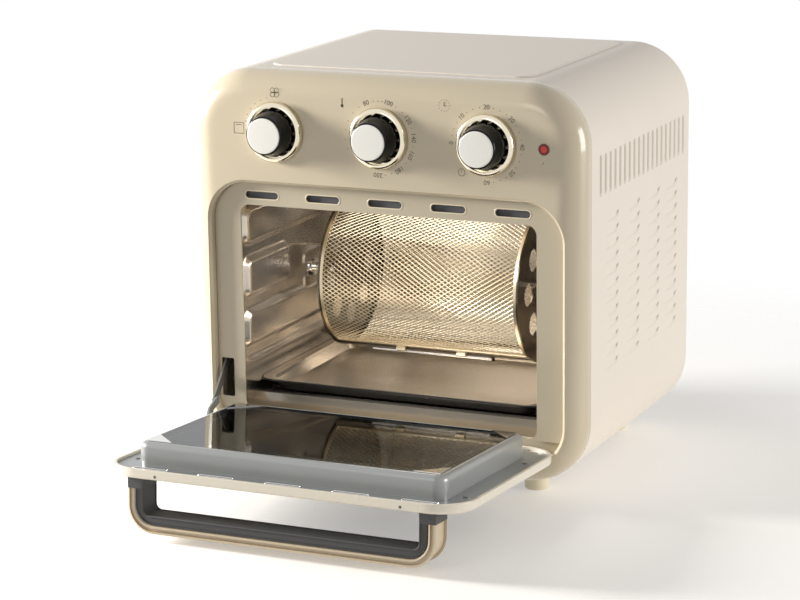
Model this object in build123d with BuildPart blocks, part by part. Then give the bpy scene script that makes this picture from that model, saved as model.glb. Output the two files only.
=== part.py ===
"""Countertop air fryer oven with a drop-down glass door, three knobs and a turning mesh drum.

Frame: +X to the right seen from the front, +Y to the back, +Z up, millimetres.
The origin is on the floor under the middle of the object as it stands with its door open.
Depths are measured from the plane of the control panel towards the back.
"""

import os
from math import atan2, cos, degrees, radians, sin

from build123d import *

# Driving dimensions of the cabinet
body_width = 340
body_height = 321.5
body_depth = 265
corner_radius = 50
foot_height = 15
foot_radius = 10
sheet = 1.0
panel_y = -33.91

# Front moulding and the pocket that the closed door sits in
seam_depth = 22.6
roll_radius = 20
moulding_wall = 2.5
pocket_width = 307.2
pocket_low = 17
pocket_high = 229.6
pocket_radius = 33
pocket_ease = 2.4

# Face frame round the mouth of the oven
frame_depth = 8.8
frame_thickness = 1.5
frame_step_depth = 13
frame_step_height = 36.5
mouth_width = 259.2
mouth_low = 36.5
mouth_high = 209.9
mouth_radius = 8
vent_height = 218.3
vent_pitch = 54.9
vent_length = 29.6
vent_width = 5.9
hinge_slot_x = -145.05
hinge_slot_width = 11.5
hinge_slot_low = 46
hinge_slot_high = 78.8

# Cooking space
cavity_half_width = 137
cavity_front = 10.6
cavity_back_depth = 205
cavity_low = 22
cavity_high = 212
sill_depth = 26.6
sill_height = 47.4

# Controls on the panel
knob_pitch = 91.5
knob_height = 273.1
lamp_x = 139.2
lamp_height = 272.3
lamp_radius = 3
shaft_radius = 3

# Door, drawn closed and then turned down about its pins
door_open_angle = 86.5
hinge_depth = 4.0
hinge_height = 26.5
door_width = 301
door_low = 19.5
door_high = 228
door_radius = 30
door_front = 0.1
door_thickness = 7.9
window_width = 236
window_low = 55
window_high = 190
liner_front = 5.2
liner_back = 6.0
inner_frame_width = 257.6
inner_frame_low = 43.5
inner_frame_high = 208.6
inner_frame_back = 24.5
inner_frame_radius = 10
inner_frame_round = 5
inner_glass_width = 246
inner_glass_low = 49.3
inner_glass_high = 202.8

# Bow handle across the top of the door
handle_half_width = 128.75
handle_low = 200.3
handle_high = 223.3
handle_front = -43.5
handle_bar = 14.8
handle_core = 7.4

# Turning drum
axle_depth = 130
axle_height = 133.4
drum_left = -87.7
drum_right = 89.4
drum_radius = 63.5
drum_wall = 1.0
lid_low_angle = -62
lid_high_angle = 73
lid_hinge_angle = -64
lid_hinge_radius = 66.5

# Baking tray
tray_half_width = 129.2
tray_body_half_width = 121
tray_front = 27
tray_back = 200
tray_low = 47.8
tray_rim = 58.4

os.makedirs("parts", exist_ok=True)


def at_depth(depth):
    """World Y of a depth behind the control panel."""
    return panel_y + depth


def at_height(height):
    """World Z of a height above the underside of the cabinet."""
    return foot_height + height


def facing(depth):
    """Sketch plane that faces the front: local x is right, local y is up."""
    return Plane.XZ.offset(-at_depth(depth))


def level(height):
    """Sketch plane that faces up, at a height above the underside of the cabinet."""
    return Plane.XY.offset(at_height(height))


def from_side(x):
    """Sketch plane that faces right: local x runs to the back, local y is up."""
    return Plane.YZ.offset(x)


def keep(piece, name):
    """Label a finished piece and write its file."""
    piece.part.label = name
    export_step(piece.part, f"parts/{name}.step")


def door_opened(piece):
    """Turn a piece that was drawn closed down to the open position about the door pins."""
    pins = Axis((0, at_depth(hinge_depth), at_height(hinge_height)), (1, 0, 0))
    piece.part = piece.part.rotate(pins, door_open_angle)


body_middle = at_height(body_height / 2)
pocket_middle = at_height((pocket_low + pocket_high) / 2)
pocket_height = pocket_high - pocket_low
mouth_middle = at_height((mouth_low + mouth_high) / 2)
mouth_height = mouth_high - mouth_low


# Cabinet wrap: one folded sheet over the top and both sides, with slots and louvres
slot_count = 19
slot_pitch = 11.43
slot_first = 43.9
slot_low = 230.1
slot_high = 262.4
slot_width = 3.2
louvre_rows = 12
louvre_pitch = 10.93
louvre_low = 86
louvre_length = 31
louvre_flat = 19
louvre_rise = 5.5
louvre_depths = (71.5, 123, 174.1, 219.5)
base_half_width = 118
emboss_width = 226
emboss_front = 36
emboss_back = 253
emboss_height = 1.0

with BuildPart() as cabinet_wrap:
    with BuildSketch(facing(seam_depth)):
        with Locations((0, body_middle)):
            RectangleRounded(body_width, body_height, corner_radius)
            RectangleRounded(body_width - 2 * sheet, body_height - 2 * sheet, corner_radius - sheet,
                             mode=Mode.SUBTRACT)
        with Locations((0, at_height(0))):
            Rectangle(2 * base_half_width, 4 * sheet, mode=Mode.SUBTRACT)
    extrude(amount=-(body_depth - seam_depth))
    # The pressed flat of the top
    with BuildSketch(level(body_height - sheet / 2)):
        with Locations((0, at_depth((emboss_front + emboss_back) / 2))):
            RectangleRounded(emboss_width, emboss_back - emboss_front, 12)
    extrude(amount=sheet / 2 + emboss_height)
    # A row of upright slots high on both sides
    with BuildSketch(from_side(body_width / 2)):
        for number in range(slot_count):
            with Locations((at_depth(slot_first + number * slot_pitch), at_height((slot_low + slot_high) / 2))):
                SlotOverall(slot_high - slot_low, slot_width, rotation=90)
    extrude(amount=-body_width, mode=Mode.SUBTRACT)
    # Four columns of fin-shaped louvres on both sides, level below and curved up at the rear
    with BuildSketch(from_side(body_width / 2)):
        for depth in louvre_depths:
            for row in range(louvre_rows):
                tip = (at_depth(depth - louvre_length / 2), at_height(louvre_low + row * louvre_pitch))
                heel = (tip[0] + louvre_flat, tip[1])
                end = (tip[0] + louvre_length, tip[1] + louvre_rise)
                with BuildLine():
                    Line(tip, heel)
                    TangentArc(heel, end, tangent=(1, 0))
                    Line(end, tip)
                make_face()
    extrude(amount=-body_width, mode=Mode.SUBTRACT)
keep(cabinet_wrap, "cabinet_wrap")


# Front moulding: control panel and side rails in one, rolled back all round to the wrap
hinge_boss = 7.5
hinge_boss_x = 146.25
pin_radius = 1.5
pin_clearance = 0.05
shaft_hole_radius = 4.5

with BuildPart() as moulding_hollow:
    with BuildSketch(facing(moulding_wall)):
        with Locations((0, body_middle)):
            RectangleRounded(body_width - 2 * moulding_wall, body_height - 2 * moulding_wall,
                             corner_radius - moulding_wall)
    extrude(amount=-seam_depth)
    fillet(faces().sort_by(Axis.Y)[0].edges(), radius=roll_radius - moulding_wall)
    with BuildSketch(facing(0)):
        with Locations((0, pocket_middle)):
            RectangleRounded(pocket_width + 2 * moulding_wall, pocket_height + 2 * moulding_wall,
                             pocket_radius + moulding_wall)
    extrude(amount=-2 * seam_depth, mode=Mode.SUBTRACT)

with BuildPart() as front_fascia:
    with BuildSketch(facing(0)):
        with Locations((0, body_middle)):
            RectangleRounded(body_width, body_height, corner_radius)
    extrude(amount=-seam_depth)
    fillet(faces().sort_by(Axis.Y)[0].edges(), radius=roll_radius)
    add(moulding_hollow.part, mode=Mode.SUBTRACT)
    # Bosses behind the pocket corners that carry the door pins
    for side in (-1, 1):
        with Locations((side * hinge_boss_x, at_depth(6.6), at_height(28.3))):
            Box(hinge_boss, 8, 9.4)
    with BuildSketch(facing(-1)):
        with Locations((0, pocket_middle)):
            RectangleRounded(pocket_width, pocket_height, pocket_radius)
    extrude(amount=-2 * seam_depth, mode=Mode.SUBTRACT)
    # The edge of the pocket is eased so that the corners of the door swing clear
    with BuildSketch(facing(-1)):
        with Locations((0, pocket_middle)):
            RectangleRounded(pocket_width + 2 * pocket_ease + 2, pocket_height + 2 * pocket_ease + 2,
                             pocket_radius + pocket_ease + 1)
    extrude(amount=-(pocket_ease + 1), taper=45, mode=Mode.SUBTRACT)
    with BuildSketch(facing(-1)):
        with Locations(*[(number * knob_pitch, at_height(knob_height)) for number in (-1, 0, 1)]):
            Circle(shaft_hole_radius)
        with Locations((lamp_x, at_height(lamp_height))):
            Circle(lamp_radius + 0.1)
    extrude(amount=-8, mode=Mode.SUBTRACT)
    with BuildSketch(from_side(-150.5)):
        with Locations((at_depth(hinge_depth), at_height(hinge_height))):
            Circle(pin_radius + pin_clearance)
    extrude(amount=301, mode=Mode.SUBTRACT)
keep(front_fascia, "front_fascia")


# Face frame: the plate at the back of the pocket with the mouth, the vents and a slot for the check link
frame_gap = 0.3

with BuildPart() as face_frame:
    with BuildSketch(facing(frame_depth)):
        with Locations((0, pocket_middle)):
            RectangleRounded(pocket_width - 2 * frame_gap, pocket_height - 2 * frame_gap, pocket_radius - frame_gap)
        with Locations((0, mouth_middle)):
            RectangleRounded(mouth_width, mouth_height, mouth_radius, mode=Mode.SUBTRACT)
        with Locations((0, at_height(frame_step_height - 25))):
            Rectangle(body_width, 50, mode=Mode.SUBTRACT)
        with Locations(*[(number * vent_pitch, at_height(vent_height)) for number in range(-2, 3)]):
            SlotOverall(vent_length, vent_width, mode=Mode.SUBTRACT)
        with Locations((hinge_slot_x, at_height((hinge_slot_low + hinge_slot_high) / 2))):
            RectangleRounded(hinge_slot_width, hinge_slot_high - hinge_slot_low, 1.5, mode=Mode.SUBTRACT)
    extrude(amount=-frame_thickness)
    # Lower band, set back to leave room for the heel of the door
    with BuildSketch(facing(frame_step_depth)):
        with Locations((0, pocket_middle)):
            RectangleRounded(pocket_width - 2 * frame_gap, pocket_height - 2 * frame_gap, pocket_radius - frame_gap)
        with Locations((0, at_height(frame_step_height + 150))):
            Rectangle(body_width, 300, mode=Mode.SUBTRACT)
    extrude(amount=-frame_thickness)
    with BuildSketch(facing(frame_depth)):
        for side in (-1, 1):
            with Locations((side * 139.5, at_height(frame_step_height))):
                Rectangle(19.8, frame_thickness)
    extrude(amount=-(frame_step_depth + frame_thickness - frame_depth))
keep(face_frame, "face_frame")


# Cavity side walls with the pressed rack ribs, the ledge that the tray slides on and two rivet heads
rib_height = 5
tray_ledge = 10.5
tray_ledge_top = 56.6
notch_depth = 4.4
notch_height = 15.6
stud_depth = 26.4
stud_height = 89.2
stud_radius = 1.5
rivet_radius = 1.8
rivets = ((15.5, 85.3), (15.5, 172.7))
ribs = ((104, 184, 176, 36), (65.5, 154.5, 83, 9), (100.5, 107, 151, 8), (100.5, 74.5, 151, 6))

for side, name in ((-1, "cavity_left"), (1, "cavity_right")):
    outer = side * (cavity_half_width + sheet)
    inner = side * cavity_half_width
    with BuildPart() as cavity_wall:
        with BuildSketch(from_side(inner)):
            with Locations((at_depth((cavity_front + cavity_back_depth) / 2),
                            at_height((cavity_low + cavity_high) / 2))):
                Rectangle(cavity_back_depth - cavity_front, cavity_high - cavity_low)
        extrude(amount=outer - inner)
        with BuildSketch(from_side(inner)):
            for depth, height, length, width in ribs:
                with Locations((at_depth(depth), at_height(height))):
                    SlotOverall(length, width)
        extrude(amount=-side * rib_height)
        chamfer(faces().sort_by(Axis.X, reverse=side < 0)[0:4].edges(), length=1.5)
        with Locations((inner - side * tray_ledge / 2, at_depth(112), at_height(tray_ledge_top - sheet / 2))):
            Box(tray_ledge, 168, sheet)
        # Notch over the set-back band of the face frame
        with Locations((outer, at_depth(cavity_front), at_height(cavity_low))):
            Box(30, 2 * notch_depth, 2 * notch_height, mode=Mode.SUBTRACT)
        with BuildSketch(from_side(inner)):
            with Locations(*[(at_depth(depth), at_height(height)) for depth, height in rivets]):
                Circle(rivet_radius)
        extrude(amount=-side * 0.7)
        if side < 0:
            # Stud that guides the slotted end of the check link
            with BuildSketch(from_side(outer)):
                with Locations((at_depth(stud_depth), at_height(stud_height))):
                    Circle(stud_radius)
            extrude(amount=side * 11.4)
        else:
            # Way through for the drum drive
            with BuildSketch(from_side(inner - rib_height - 5)):
                with Locations((at_depth(axle_depth), at_height(axle_height))):
                    Circle(4.4)
            extrude(amount=12, mode=Mode.SUBTRACT)
    keep(cavity_wall, name)

with BuildPart() as cavity_back:
    with BuildSketch(facing(cavity_back_depth)):
        with Locations((0, at_height((cavity_low + cavity_high) / 2))):
            Rectangle(2 * cavity_half_width, cavity_high - cavity_low)
    extrude(amount=-sheet)
    # Shallow pressed round that stiffens the back
    with BuildSketch(facing(cavity_back_depth)):
        with Locations((0, at_height(axle_height - 6))):
            Circle(58)
            Circle(50, mode=Mode.SUBTRACT)
    extrude(amount=1.2)
keep(cavity_back, "cavity_back")

fan_depth = 112
fan_opening = 60

with BuildPart() as cavity_top:
    with BuildSketch(level(cavity_high)):
        with Locations((0, at_depth((cavity_front + cavity_back_depth + sheet) / 2))):
            Rectangle(2 * (cavity_half_width + sheet), cavity_back_depth + sheet - cavity_front)
        with Locations((0, at_depth(fan_depth))):
            Circle(fan_opening, mode=Mode.SUBTRACT)
    extrude(amount=sheet)
keep(cavity_top, "cavity_top")

with BuildPart() as cavity_floor:
    with BuildSketch(from_side(-cavity_half_width + 0.2)):
        with BuildLine():
            Polyline(
                (at_depth(cavity_back_depth - 0.2), at_height(cavity_low)),
                (at_depth(sill_depth), at_height(cavity_low)),
                (at_depth(sill_depth), at_height(sill_height)),
                (at_depth(sill_depth + 8), at_height(sill_height)),
                (at_depth(sill_depth + 8), at_height(sill_height - sheet)),
                (at_depth(sill_depth + sheet), at_height(sill_height - sheet)),
                (at_depth(sill_depth + sheet), at_height(cavity_low + sheet)),
                (at_depth(cavity_back_depth - 0.2), at_height(cavity_low + sheet)),
                close=True,
            )
        make_face()
    extrude(amount=2 * (cavity_half_width - 0.2))
keep(cavity_floor, "cavity_floor")


# Base, back and what stands under or goes through them
foot_places = [(side * 115, at_depth(depth)) for side in (-1, 1) for depth in (47, 235)]
back_depth = 262
gland_x = -112
gland_height = 40

with BuildPart() as base_plate:
    with BuildSketch(level(0)):
        with Locations((0, at_depth((seam_depth + back_depth) / 2))):
            Rectangle(2 * base_half_width - 0.4, back_depth - seam_depth - 0.4)
        with Locations(*foot_places):
            Circle(2.1, mode=Mode.SUBTRACT)
        with Locations((0, at_depth(142))):
            with GridLocations(22, 90, 7, 2):
                SlotOverall(34, 4, rotation=90, mode=Mode.SUBTRACT)
    extrude(amount=sheet)
keep(base_plate, "base_plate")

with BuildPart() as feet:
    with BuildSketch(Plane.XY):
        with Locations(*foot_places):
            Circle(foot_radius)
    extrude(amount=foot_height, taper=-2)
    chamfer(faces().sort_by(Axis.Z)[0:4].edges(), length=1)
    with BuildSketch(Plane.XY.offset(foot_height)):
        with Locations(*foot_places):
            Circle(2)
    extrude(amount=sheet + 2)
keep(feet, "feet")

back_screws = [(x, at_height(height)) for x in (-150, 150) for height in (60, 160, 262)]

with BuildPart() as back_panel:
    with BuildSketch(facing(back_depth)):
        with Locations((0, body_middle)):
            RectangleRounded(body_width - 2.8, body_height - 2.8, corner_radius - 1.4)
        with Locations((0, at_height(265))):
            with GridLocations(18, 30, 9, 2):
                SlotOverall(22, 4, rotation=90, mode=Mode.SUBTRACT)
        with Locations((0, at_height(110))):
            with GridLocations(18, 34, 7, 2):
                SlotOverall(24, 4, rotation=90, mode=Mode.SUBTRACT)
        with Locations((gland_x, at_height(gland_height))):
            Circle(7, mode=Mode.SUBTRACT)
        with Locations(*back_screws):
            Circle(1.6, mode=Mode.SUBTRACT)
    extrude(amount=-1.2)
keep(back_panel, "back_panel")

with BuildPart() as cord_gland:
    with BuildSketch(facing(back_depth - 5)):
        with Locations((gland_x, at_height(gland_height))):
            Circle(6.9)
            Circle(4, mode=Mode.SUBTRACT)
    extrude(amount=-7.8)
    with BuildSketch(facing(back_depth + 1.2)):
        with Locations((gland_x, at_height(gland_height))):
            Circle(9.5)
            Circle(4, mode=Mode.SUBTRACT)
    extrude(amount=-1.6)
    fillet(faces().sort_by(Axis.Y)[-1].edges().sort_by(SortBy.LENGTH)[-1], radius=0.6)
keep(cord_gland, "cord_gland")

with BuildPart() as case_screws:
    with BuildSketch(facing(back_depth + 1.2)):
        with Locations(*back_screws):
            Circle(3.2)
    extrude(amount=-1.6)
    with BuildSketch(facing(back_depth - 6)):
        with Locations(*back_screws):
            Circle(1.5)
    extrude(amount=-7.4)
keep(case_screws, "case_screws")


# Controls behind the panel, each with a turning shaft, and the knobs in front of it
control_front = moulding_wall
knob_skirt_radius = 24.5
knob_skirt_depth = 6.5
grip_radius = 20.3
grip_tip = -21.5
grip_taper = 13.5
flute_count = 14
flute_radius = 3.2
cap_radius = 14.2
cap_ring_radius = 15
cap_face = -22.7
knob_gap = 0.5

controls = (("function", -1), ("temperature", 0), ("timer", 1))
bodies = {"function": (30, 30, 20, "function_switch"), "temperature": (26, 34, 17, "thermostat"),
          "timer": (42, 42, 30, "timer_clockwork")}

for name, number in controls:
    knob_x = number * knob_pitch
    centre = (knob_x, at_height(knob_height))
    width, height, length, body_name = bodies[name]

    with BuildPart() as control_body:
        with BuildSketch(facing(control_front)):
            with Locations(centre):
                RectangleRounded(width, height, 4)
        extrude(amount=-length)
        with BuildSketch(facing(control_front + length)):
            with Locations(centre):
                with GridLocations(10, 12, 2, 2):
                    Rectangle(1, 6.3)
        extrude(amount=-8)
        with BuildSketch(facing(control_front)):
            with Locations(centre):
                Circle(shaft_radius + 0.05)
        extrude(amount=-12, mode=Mode.SUBTRACT)
    keep(control_body, body_name)

    with BuildPart() as shaft:
        with BuildSketch(facing(-16)):
            with Locations(centre):
                Circle(shaft_radius)
            with Locations((knob_x, centre[1] - shaft_radius)):
                Rectangle(2 * shaft_radius, 3, mode=Mode.SUBTRACT)
        extrude(amount=-16)
        with BuildSketch(facing(0)):
            with Locations(centre):
                Circle(shaft_radius)
        extrude(amount=-14)
    keep(shaft, f"{name}_shaft")

    with BuildPart() as skirt:
        with BuildSketch(facing(-knob_gap)):
            with Locations(centre):
                Circle(knob_skirt_radius)
        extrude(amount=knob_skirt_depth)
        fillet(faces().sort_by(Axis.Y)[0].edges(), radius=2.4)
        with BuildSketch(facing(-knob_gap - knob_skirt_depth)):
            with Locations(centre):
                Circle(grip_radius + 0.4)
        extrude(amount=-(knob_skirt_depth - 1.4), mode=Mode.SUBTRACT)
        with BuildSketch(facing(-knob_gap)):
            with Locations(centre):
                Circle(7.5)
        extrude(amount=3, mode=Mode.SUBTRACT)
    keep(skirt, f"{name}_knob_skirt")

    with BuildPart() as grip:
        with BuildSketch(facing(-knob_gap - 1.4)):
            with Locations(centre):
                Circle(grip_radius)
        extrude(amount=-grip_tip - knob_gap - 1.4, taper=grip_taper)
        fillet(faces().sort_by(Axis.Y)[0].edges(), radius=0.5)
        # Scallops that run out where the cone gets narrower
        with BuildSketch(facing(-knob_gap - 1.4)):
            with Locations(centre):
                with PolarLocations(grip_radius + 1.6, flute_count):
                    Circle(flute_radius)
        extrude(amount=-grip_tip - knob_gap - 1.4, mode=Mode.SUBTRACT)
        with BuildSketch(facing(grip_tip)):
            with Locations(centre):
                Circle(cap_ring_radius)
        extrude(amount=0.5)
        # Blind bore with a flat for the shaft
        with BuildSketch(facing(-knob_gap - 1.4)):
            with Locations(centre):
                Circle(shaft_radius)
            with Locations((knob_x, centre[1] - shaft_radius)):
                Rectangle(2 * shaft_radius, 3, mode=Mode.SUBTRACT)
        extrude(amount=14.1, mode=Mode.SUBTRACT)
    keep(grip, f"{name}_knob_grip")

    with BuildPart() as cap:
        with BuildSketch(facing(grip_tip - 0.5)):
            with Locations(centre):
                Circle(cap_radius)
        extrude(amount=grip_tip - 0.5 - cap_face)
        fillet(faces().sort_by(Axis.Y)[0].edges(), radius=0.4)
        with BuildSketch(facing(cap_face)):
            with Locations((knob_x, centre[1] + cap_radius - 4)):
                SlotOverall(6, 1.1, rotation=90)
        extrude(amount=-0.3, mode=Mode.SUBTRACT)
    keep(cap, f"{name}_knob_cap")

with BuildPart() as indicator_lens:
    with BuildSketch(facing(-1.2)):
        with Locations((lamp_x, at_height(lamp_height))):
            Circle(lamp_radius)
    extrude(amount=-14)
    fillet(faces().sort_by(Axis.Y)[0].edges(), radius=1.1)
keep(indicator_lens, "indicator_lens")

with BuildPart() as indicator_bezel:
    with BuildSketch(facing(0)):
        with Locations((lamp_x, at_height(lamp_height))):
            Circle(lamp_radius + 1.5)
            Circle(lamp_radius + 0.1, mode=Mode.SUBTRACT)
    extrude(amount=0.9)
    fillet(faces().sort_by(Axis.Y)[0].edges().sort_by(SortBy.LENGTH)[-1], radius=0.5)
keep(indicator_bezel, "indicator_bezel")


# Hot air chamber above the cavity: housing, ring heater, fan and its motor, guard below
housing_radius = 76
housing_height = 36
fan_radius = 47
blade_count = 8

with BuildPart() as fan_housing:
    with BuildSketch(level(cavity_high + sheet)):
        with Locations((0, at_depth(fan_depth))):
            Circle(housing_radius + 8)
            Circle(housing_radius, mode=Mode.SUBTRACT)
    extrude(amount=sheet)
    with BuildSketch(level(cavity_high + sheet)):
        with Locations((0, at_depth(fan_depth))):
            Circle(housing_radius + sheet)
            Circle(housing_radius, mode=Mode.SUBTRACT)
    extrude(amount=housing_height)
    with BuildSketch(level(cavity_high + housing_height)):
        with Locations((0, at_depth(fan_depth))):
            Circle(housing_radius + sheet)
            Circle(6, mode=Mode.SUBTRACT)
        with Locations((-12, at_depth(fan_depth + 58)), (12, at_depth(fan_depth + 58))):
            Circle(4.5, mode=Mode.SUBTRACT)
    extrude(amount=sheet)
keep(fan_housing, "fan_housing")

with BuildPart() as fan_guard:
    with BuildSketch(level(cavity_high - sheet)):
        with Locations((0, at_depth(fan_depth))):
            Circle(fan_opening + 6)
            with PolarLocations(27, 12):
                SlotOverall(22, 5, mode=Mode.SUBTRACT)
            with PolarLocations(49, 18):
                SlotOverall(16, 6, mode=Mode.SUBTRACT)
    extrude(amount=sheet)
keep(fan_guard, "fan_guard")

with BuildPart() as convection_fan:
    with BuildSketch(level(cavity_high + 24)):
        with Locations((0, at_depth(fan_depth))):
            Circle(fan_radius)
    extrude(amount=1)
    with BuildSketch(level(cavity_high + 25)):
        with Locations((0, at_depth(fan_depth))):
            with PolarLocations((fan_radius + 9) / 2, blade_count):
                Rectangle(fan_radius - 11, 1)
    extrude(amount=-15)
    with BuildSketch(level(cavity_high + 14)):
        with Locations((0, at_depth(fan_depth))):
            Circle(8)
    extrude(amount=12)
    with BuildSketch(level(cavity_high + 20)):
        with Locations((0, at_depth(fan_depth))):
            Circle(3)
    extrude(amount=36)
keep(convection_fan, "convection_fan")

with BuildPart() as fan_motor:
    with BuildSketch(level(cavity_high + housing_height + sheet)):
        with Locations((0, at_depth(fan_depth))):
            RectangleRounded(70, 56, 4)
            Circle(3.05, mode=Mode.SUBTRACT)
    extrude(amount=3)
    with BuildSketch(level(cavity_high + housing_height + 4)):
        with Locations((0, at_depth(fan_depth))):
            RectangleRounded(60, 48, 5)
    extrude(amount=26)
    with BuildSketch(level(cavity_high + housing_height + 30)):
        with Locations((0, at_depth(fan_depth))):
            Circle(21)
    extrude(amount=10)
    with BuildSketch(level(cavity_high + housing_height + 2)):
        with Locations((0, at_depth(fan_depth))):
            Circle(3.05)
    extrude(amount=22, mode=Mode.SUBTRACT)
keep(fan_motor, "fan_motor")

heater_rod = 3.2
heater_ring = 59
heater_rise = 8
ring_gap = 12
tail_x = heater_ring * sin(radians(ring_gap))
tail_y = heater_ring * cos(radians(ring_gap))

with BuildPart() as upper_heater:
    with BuildLine() as ring_line:
        CenterArc((0, at_depth(fan_depth), at_height(cavity_high + heater_rise)), heater_ring,
                  90 + ring_gap, 360 - 2 * ring_gap)
    with BuildSketch(Plane(origin=ring_line.line @ 0, z_dir=ring_line.line % 0)):
        Circle(heater_rod)
    sweep(path=ring_line.line)
    # Both ends stand up through the housing
    with BuildSketch(level(cavity_high + heater_rise)):
        with Locations(*[(side * tail_x, at_depth(fan_depth) + tail_y) for side in (-1, 1)]):
            Circle(heater_rod)
    extrude(amount=40)
keep(upper_heater, "upper_heater")

for name, depth in (("lower_heater_front", 75), ("lower_heater_rear", 160)):
    with BuildPart() as lower_heater:
        with BuildSketch(from_side(-cavity_half_width + 0.2)):
            with Locations((at_depth(depth), at_height(34))):
                Circle(heater_rod)
        extrude(amount=2 * (cavity_half_width - 0.2))
        with BuildSketch(from_side(-cavity_half_width + 0.2)):
            with Locations((at_depth(depth), at_height(34))):
                Circle(6)
        extrude(amount=3)
        with BuildSketch(from_side(cavity_half_width - 3.2)):
            with Locations((at_depth(depth), at_height(34))):
                Circle(6)
        extrude(amount=3)
    keep(lower_heater, name)


# Drum drive on the right and the open bearing bracket on the left
axle_y = at_depth(axle_depth)
axle_z = at_height(axle_height)
coupler_left = 118
tang_width = 12
tang_thickness = 3
bush_radius = 6
bush_flange = 7.5
bracket_left = -125
bracket_right = -122.5

with BuildPart() as drum_motor:
    with BuildSketch(from_side(140)):
        with Locations((axle_y, axle_z)):
            Circle(25)
    extrude(amount=21)
    with BuildSketch(from_side(140)):
        with Locations((axle_y, axle_z)):
            SlotOverall(70, 14)
    extrude(amount=1.5)
    fillet(faces().sort_by(Axis.X)[-1].edges(), radius=2)
    with BuildSketch(from_side(140)):
        with Locations((axle_y, axle_z)):
            Circle(4.05)
    extrude(amount=12, mode=Mode.SUBTRACT)
keep(drum_motor, "drum_motor")

with BuildPart() as drive_coupler:
    with BuildSketch(from_side(coupler_left)):
        with Locations((axle_y, axle_z)):
            Circle(8)
    extrude(amount=17)
    with BuildSketch(from_side(coupler_left)):
        with Locations((axle_y, axle_z)):
            Rectangle(20, tang_thickness + 0.6)
    extrude(amount=11, mode=Mode.SUBTRACT)
    with BuildSketch(from_side(coupler_left + 17)):
        with Locations((axle_y, axle_z)):
            Circle(4)
    extrude(amount=16)
keep(drive_coupler, "drive_coupler")

with BuildPart() as bearing_bracket:
    with BuildSketch(from_side(bracket_left)):
        with Locations((axle_y + 2, axle_z)):
            RectangleRounded(40, 30, 5)
        with Locations((axle_y, axle_z)):
            Circle(bush_radius + 0.1, mode=Mode.SUBTRACT)
        with Locations((axle_y - 15, axle_z)):
            Rectangle(30, 2 * bush_radius + 0.2, mode=Mode.SUBTRACT)
    extrude(amount=bracket_right - bracket_left)
    with Locations((-(cavity_half_width - 0.2) + 6.5, axle_y + 18, axle_z)):
        Box(13, 8, 30)
keep(bearing_bracket, "bearing_bracket")

with BuildPart() as bearing_bush:
    with BuildSketch(from_side(bracket_left - 1)):
        with Locations((axle_y, axle_z)):
            Circle(bush_radius)
    extrude(amount=bracket_right - bracket_left + 2)
    with BuildSketch(from_side(bracket_left - 1.2)):
        with Locations((axle_y, axle_z)):
            Circle(bush_flange)
    extrude(amount=1)
    with BuildSketch(from_side(bracket_right + 0.2)):
        with Locations((axle_y, axle_z)):
            Circle(bush_flange)
    extrude(amount=1)
    with BuildSketch(from_side(bracket_left - 2)):
        with Locations((axle_y, axle_z)):
            Circle(4.05)
    extrude(amount=8, mode=Mode.SUBTRACT)
keep(bearing_bush, "bearing_bush")


# Drum: two holed shells, two end discs, axle stub, drive tang and the hinge of its lid
mesh_columns = 12
lid_rows = 6
shell_rows = 10
mesh_strand = 2.4
drum_length = drum_right - drum_left
column_pitch = drum_length / mesh_columns
row_angle = 18.6
row_pitch = radians(row_angle) * drum_radius


def around_drum(angle, radius):
    """Point on the side plane at an angle up from the front of the drum."""
    return (axle_y - radius * cos(radians(angle)), axle_z + radius * sin(radians(angle)))


def sector(low_angle, high_angle, radius):
    """Corners of a pie slice of less than a half turn about the drum axis."""
    middle = (low_angle + high_angle) / 2
    return [(axle_y, axle_z)] + [around_drum(angle, radius) for angle in (low_angle, middle, high_angle)]


def diamond_rows(first_angle, count):
    """Planes outside the drum, and places on them, of the staggered rows of openings."""
    rows = []
    for row in range(count):
        angle = first_angle + row * row_angle
        y, z = around_drum(angle, drum_radius + 6)
        outward = (0, -cos(radians(angle)), sin(radians(angle)))
        first_column = 1 if row % 2 else 2
        places = [(column * column_pitch, 0) for column in range(first_column, mesh_columns, 2)]
        rows.append((Plane(origin=(drum_left, y, z), x_dir=(1, 0, 0), z_dir=outward), places))
    return rows


half_x = column_pitch - mesh_strand
half_y = row_pitch - mesh_strand
diamond = [(-half_x, 0), (0, -half_y), (half_x, 0), (0, half_y)]

with BuildPart() as drum_shell:
    with BuildSketch(from_side(drum_left)):
        with Locations((axle_y, axle_z)):
            Circle(drum_radius)
            Circle(drum_radius - drum_wall, mode=Mode.SUBTRACT)
        with BuildLine():
            Polyline(*sector(lid_low_angle - 2.5, lid_high_angle + 2, 200), close=True)
        make_face(mode=Mode.SUBTRACT)
    extrude(amount=drum_length)
    for plane, places in diamond_rows(95.6, shell_rows):
        with BuildSketch(plane):
            with Locations(*places):
                Polygon(*diamond, align=None)
        extrude(amount=-12, mode=Mode.SUBTRACT)
    # Plain band along the hinge, with two lugs
    with BuildSketch(from_side(drum_left)):
        with Locations((axle_y, axle_z)):
            Circle(drum_radius + 0.8)
            Circle(drum_radius - drum_wall, mode=Mode.SUBTRACT)
        with BuildLine():
            Polyline(*sector(-76, lid_low_angle - 3.5, 200), close=True)
        make_face(mode=Mode.INTERSECT)
    extrude(amount=drum_length)
    for lug_x in (-52, 32):
        with BuildSketch(from_side(lug_x)):
            with BuildLine():
                Polyline(around_drum(-65.7, drum_radius - 0.6), around_drum(-65.2, lid_hinge_radius - 0.5),
                         around_drum(-65.2, lid_hinge_radius + 1.8), around_drum(-72, lid_hinge_radius + 1.5),
                         around_drum(-74, drum_radius - 0.2), close=True)
            make_face()
            with Locations(around_drum(lid_hinge_angle, lid_hinge_radius)):
                Circle(2.4)
                Circle(1.2, mode=Mode.SUBTRACT)
        extrude(amount=20)
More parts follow.
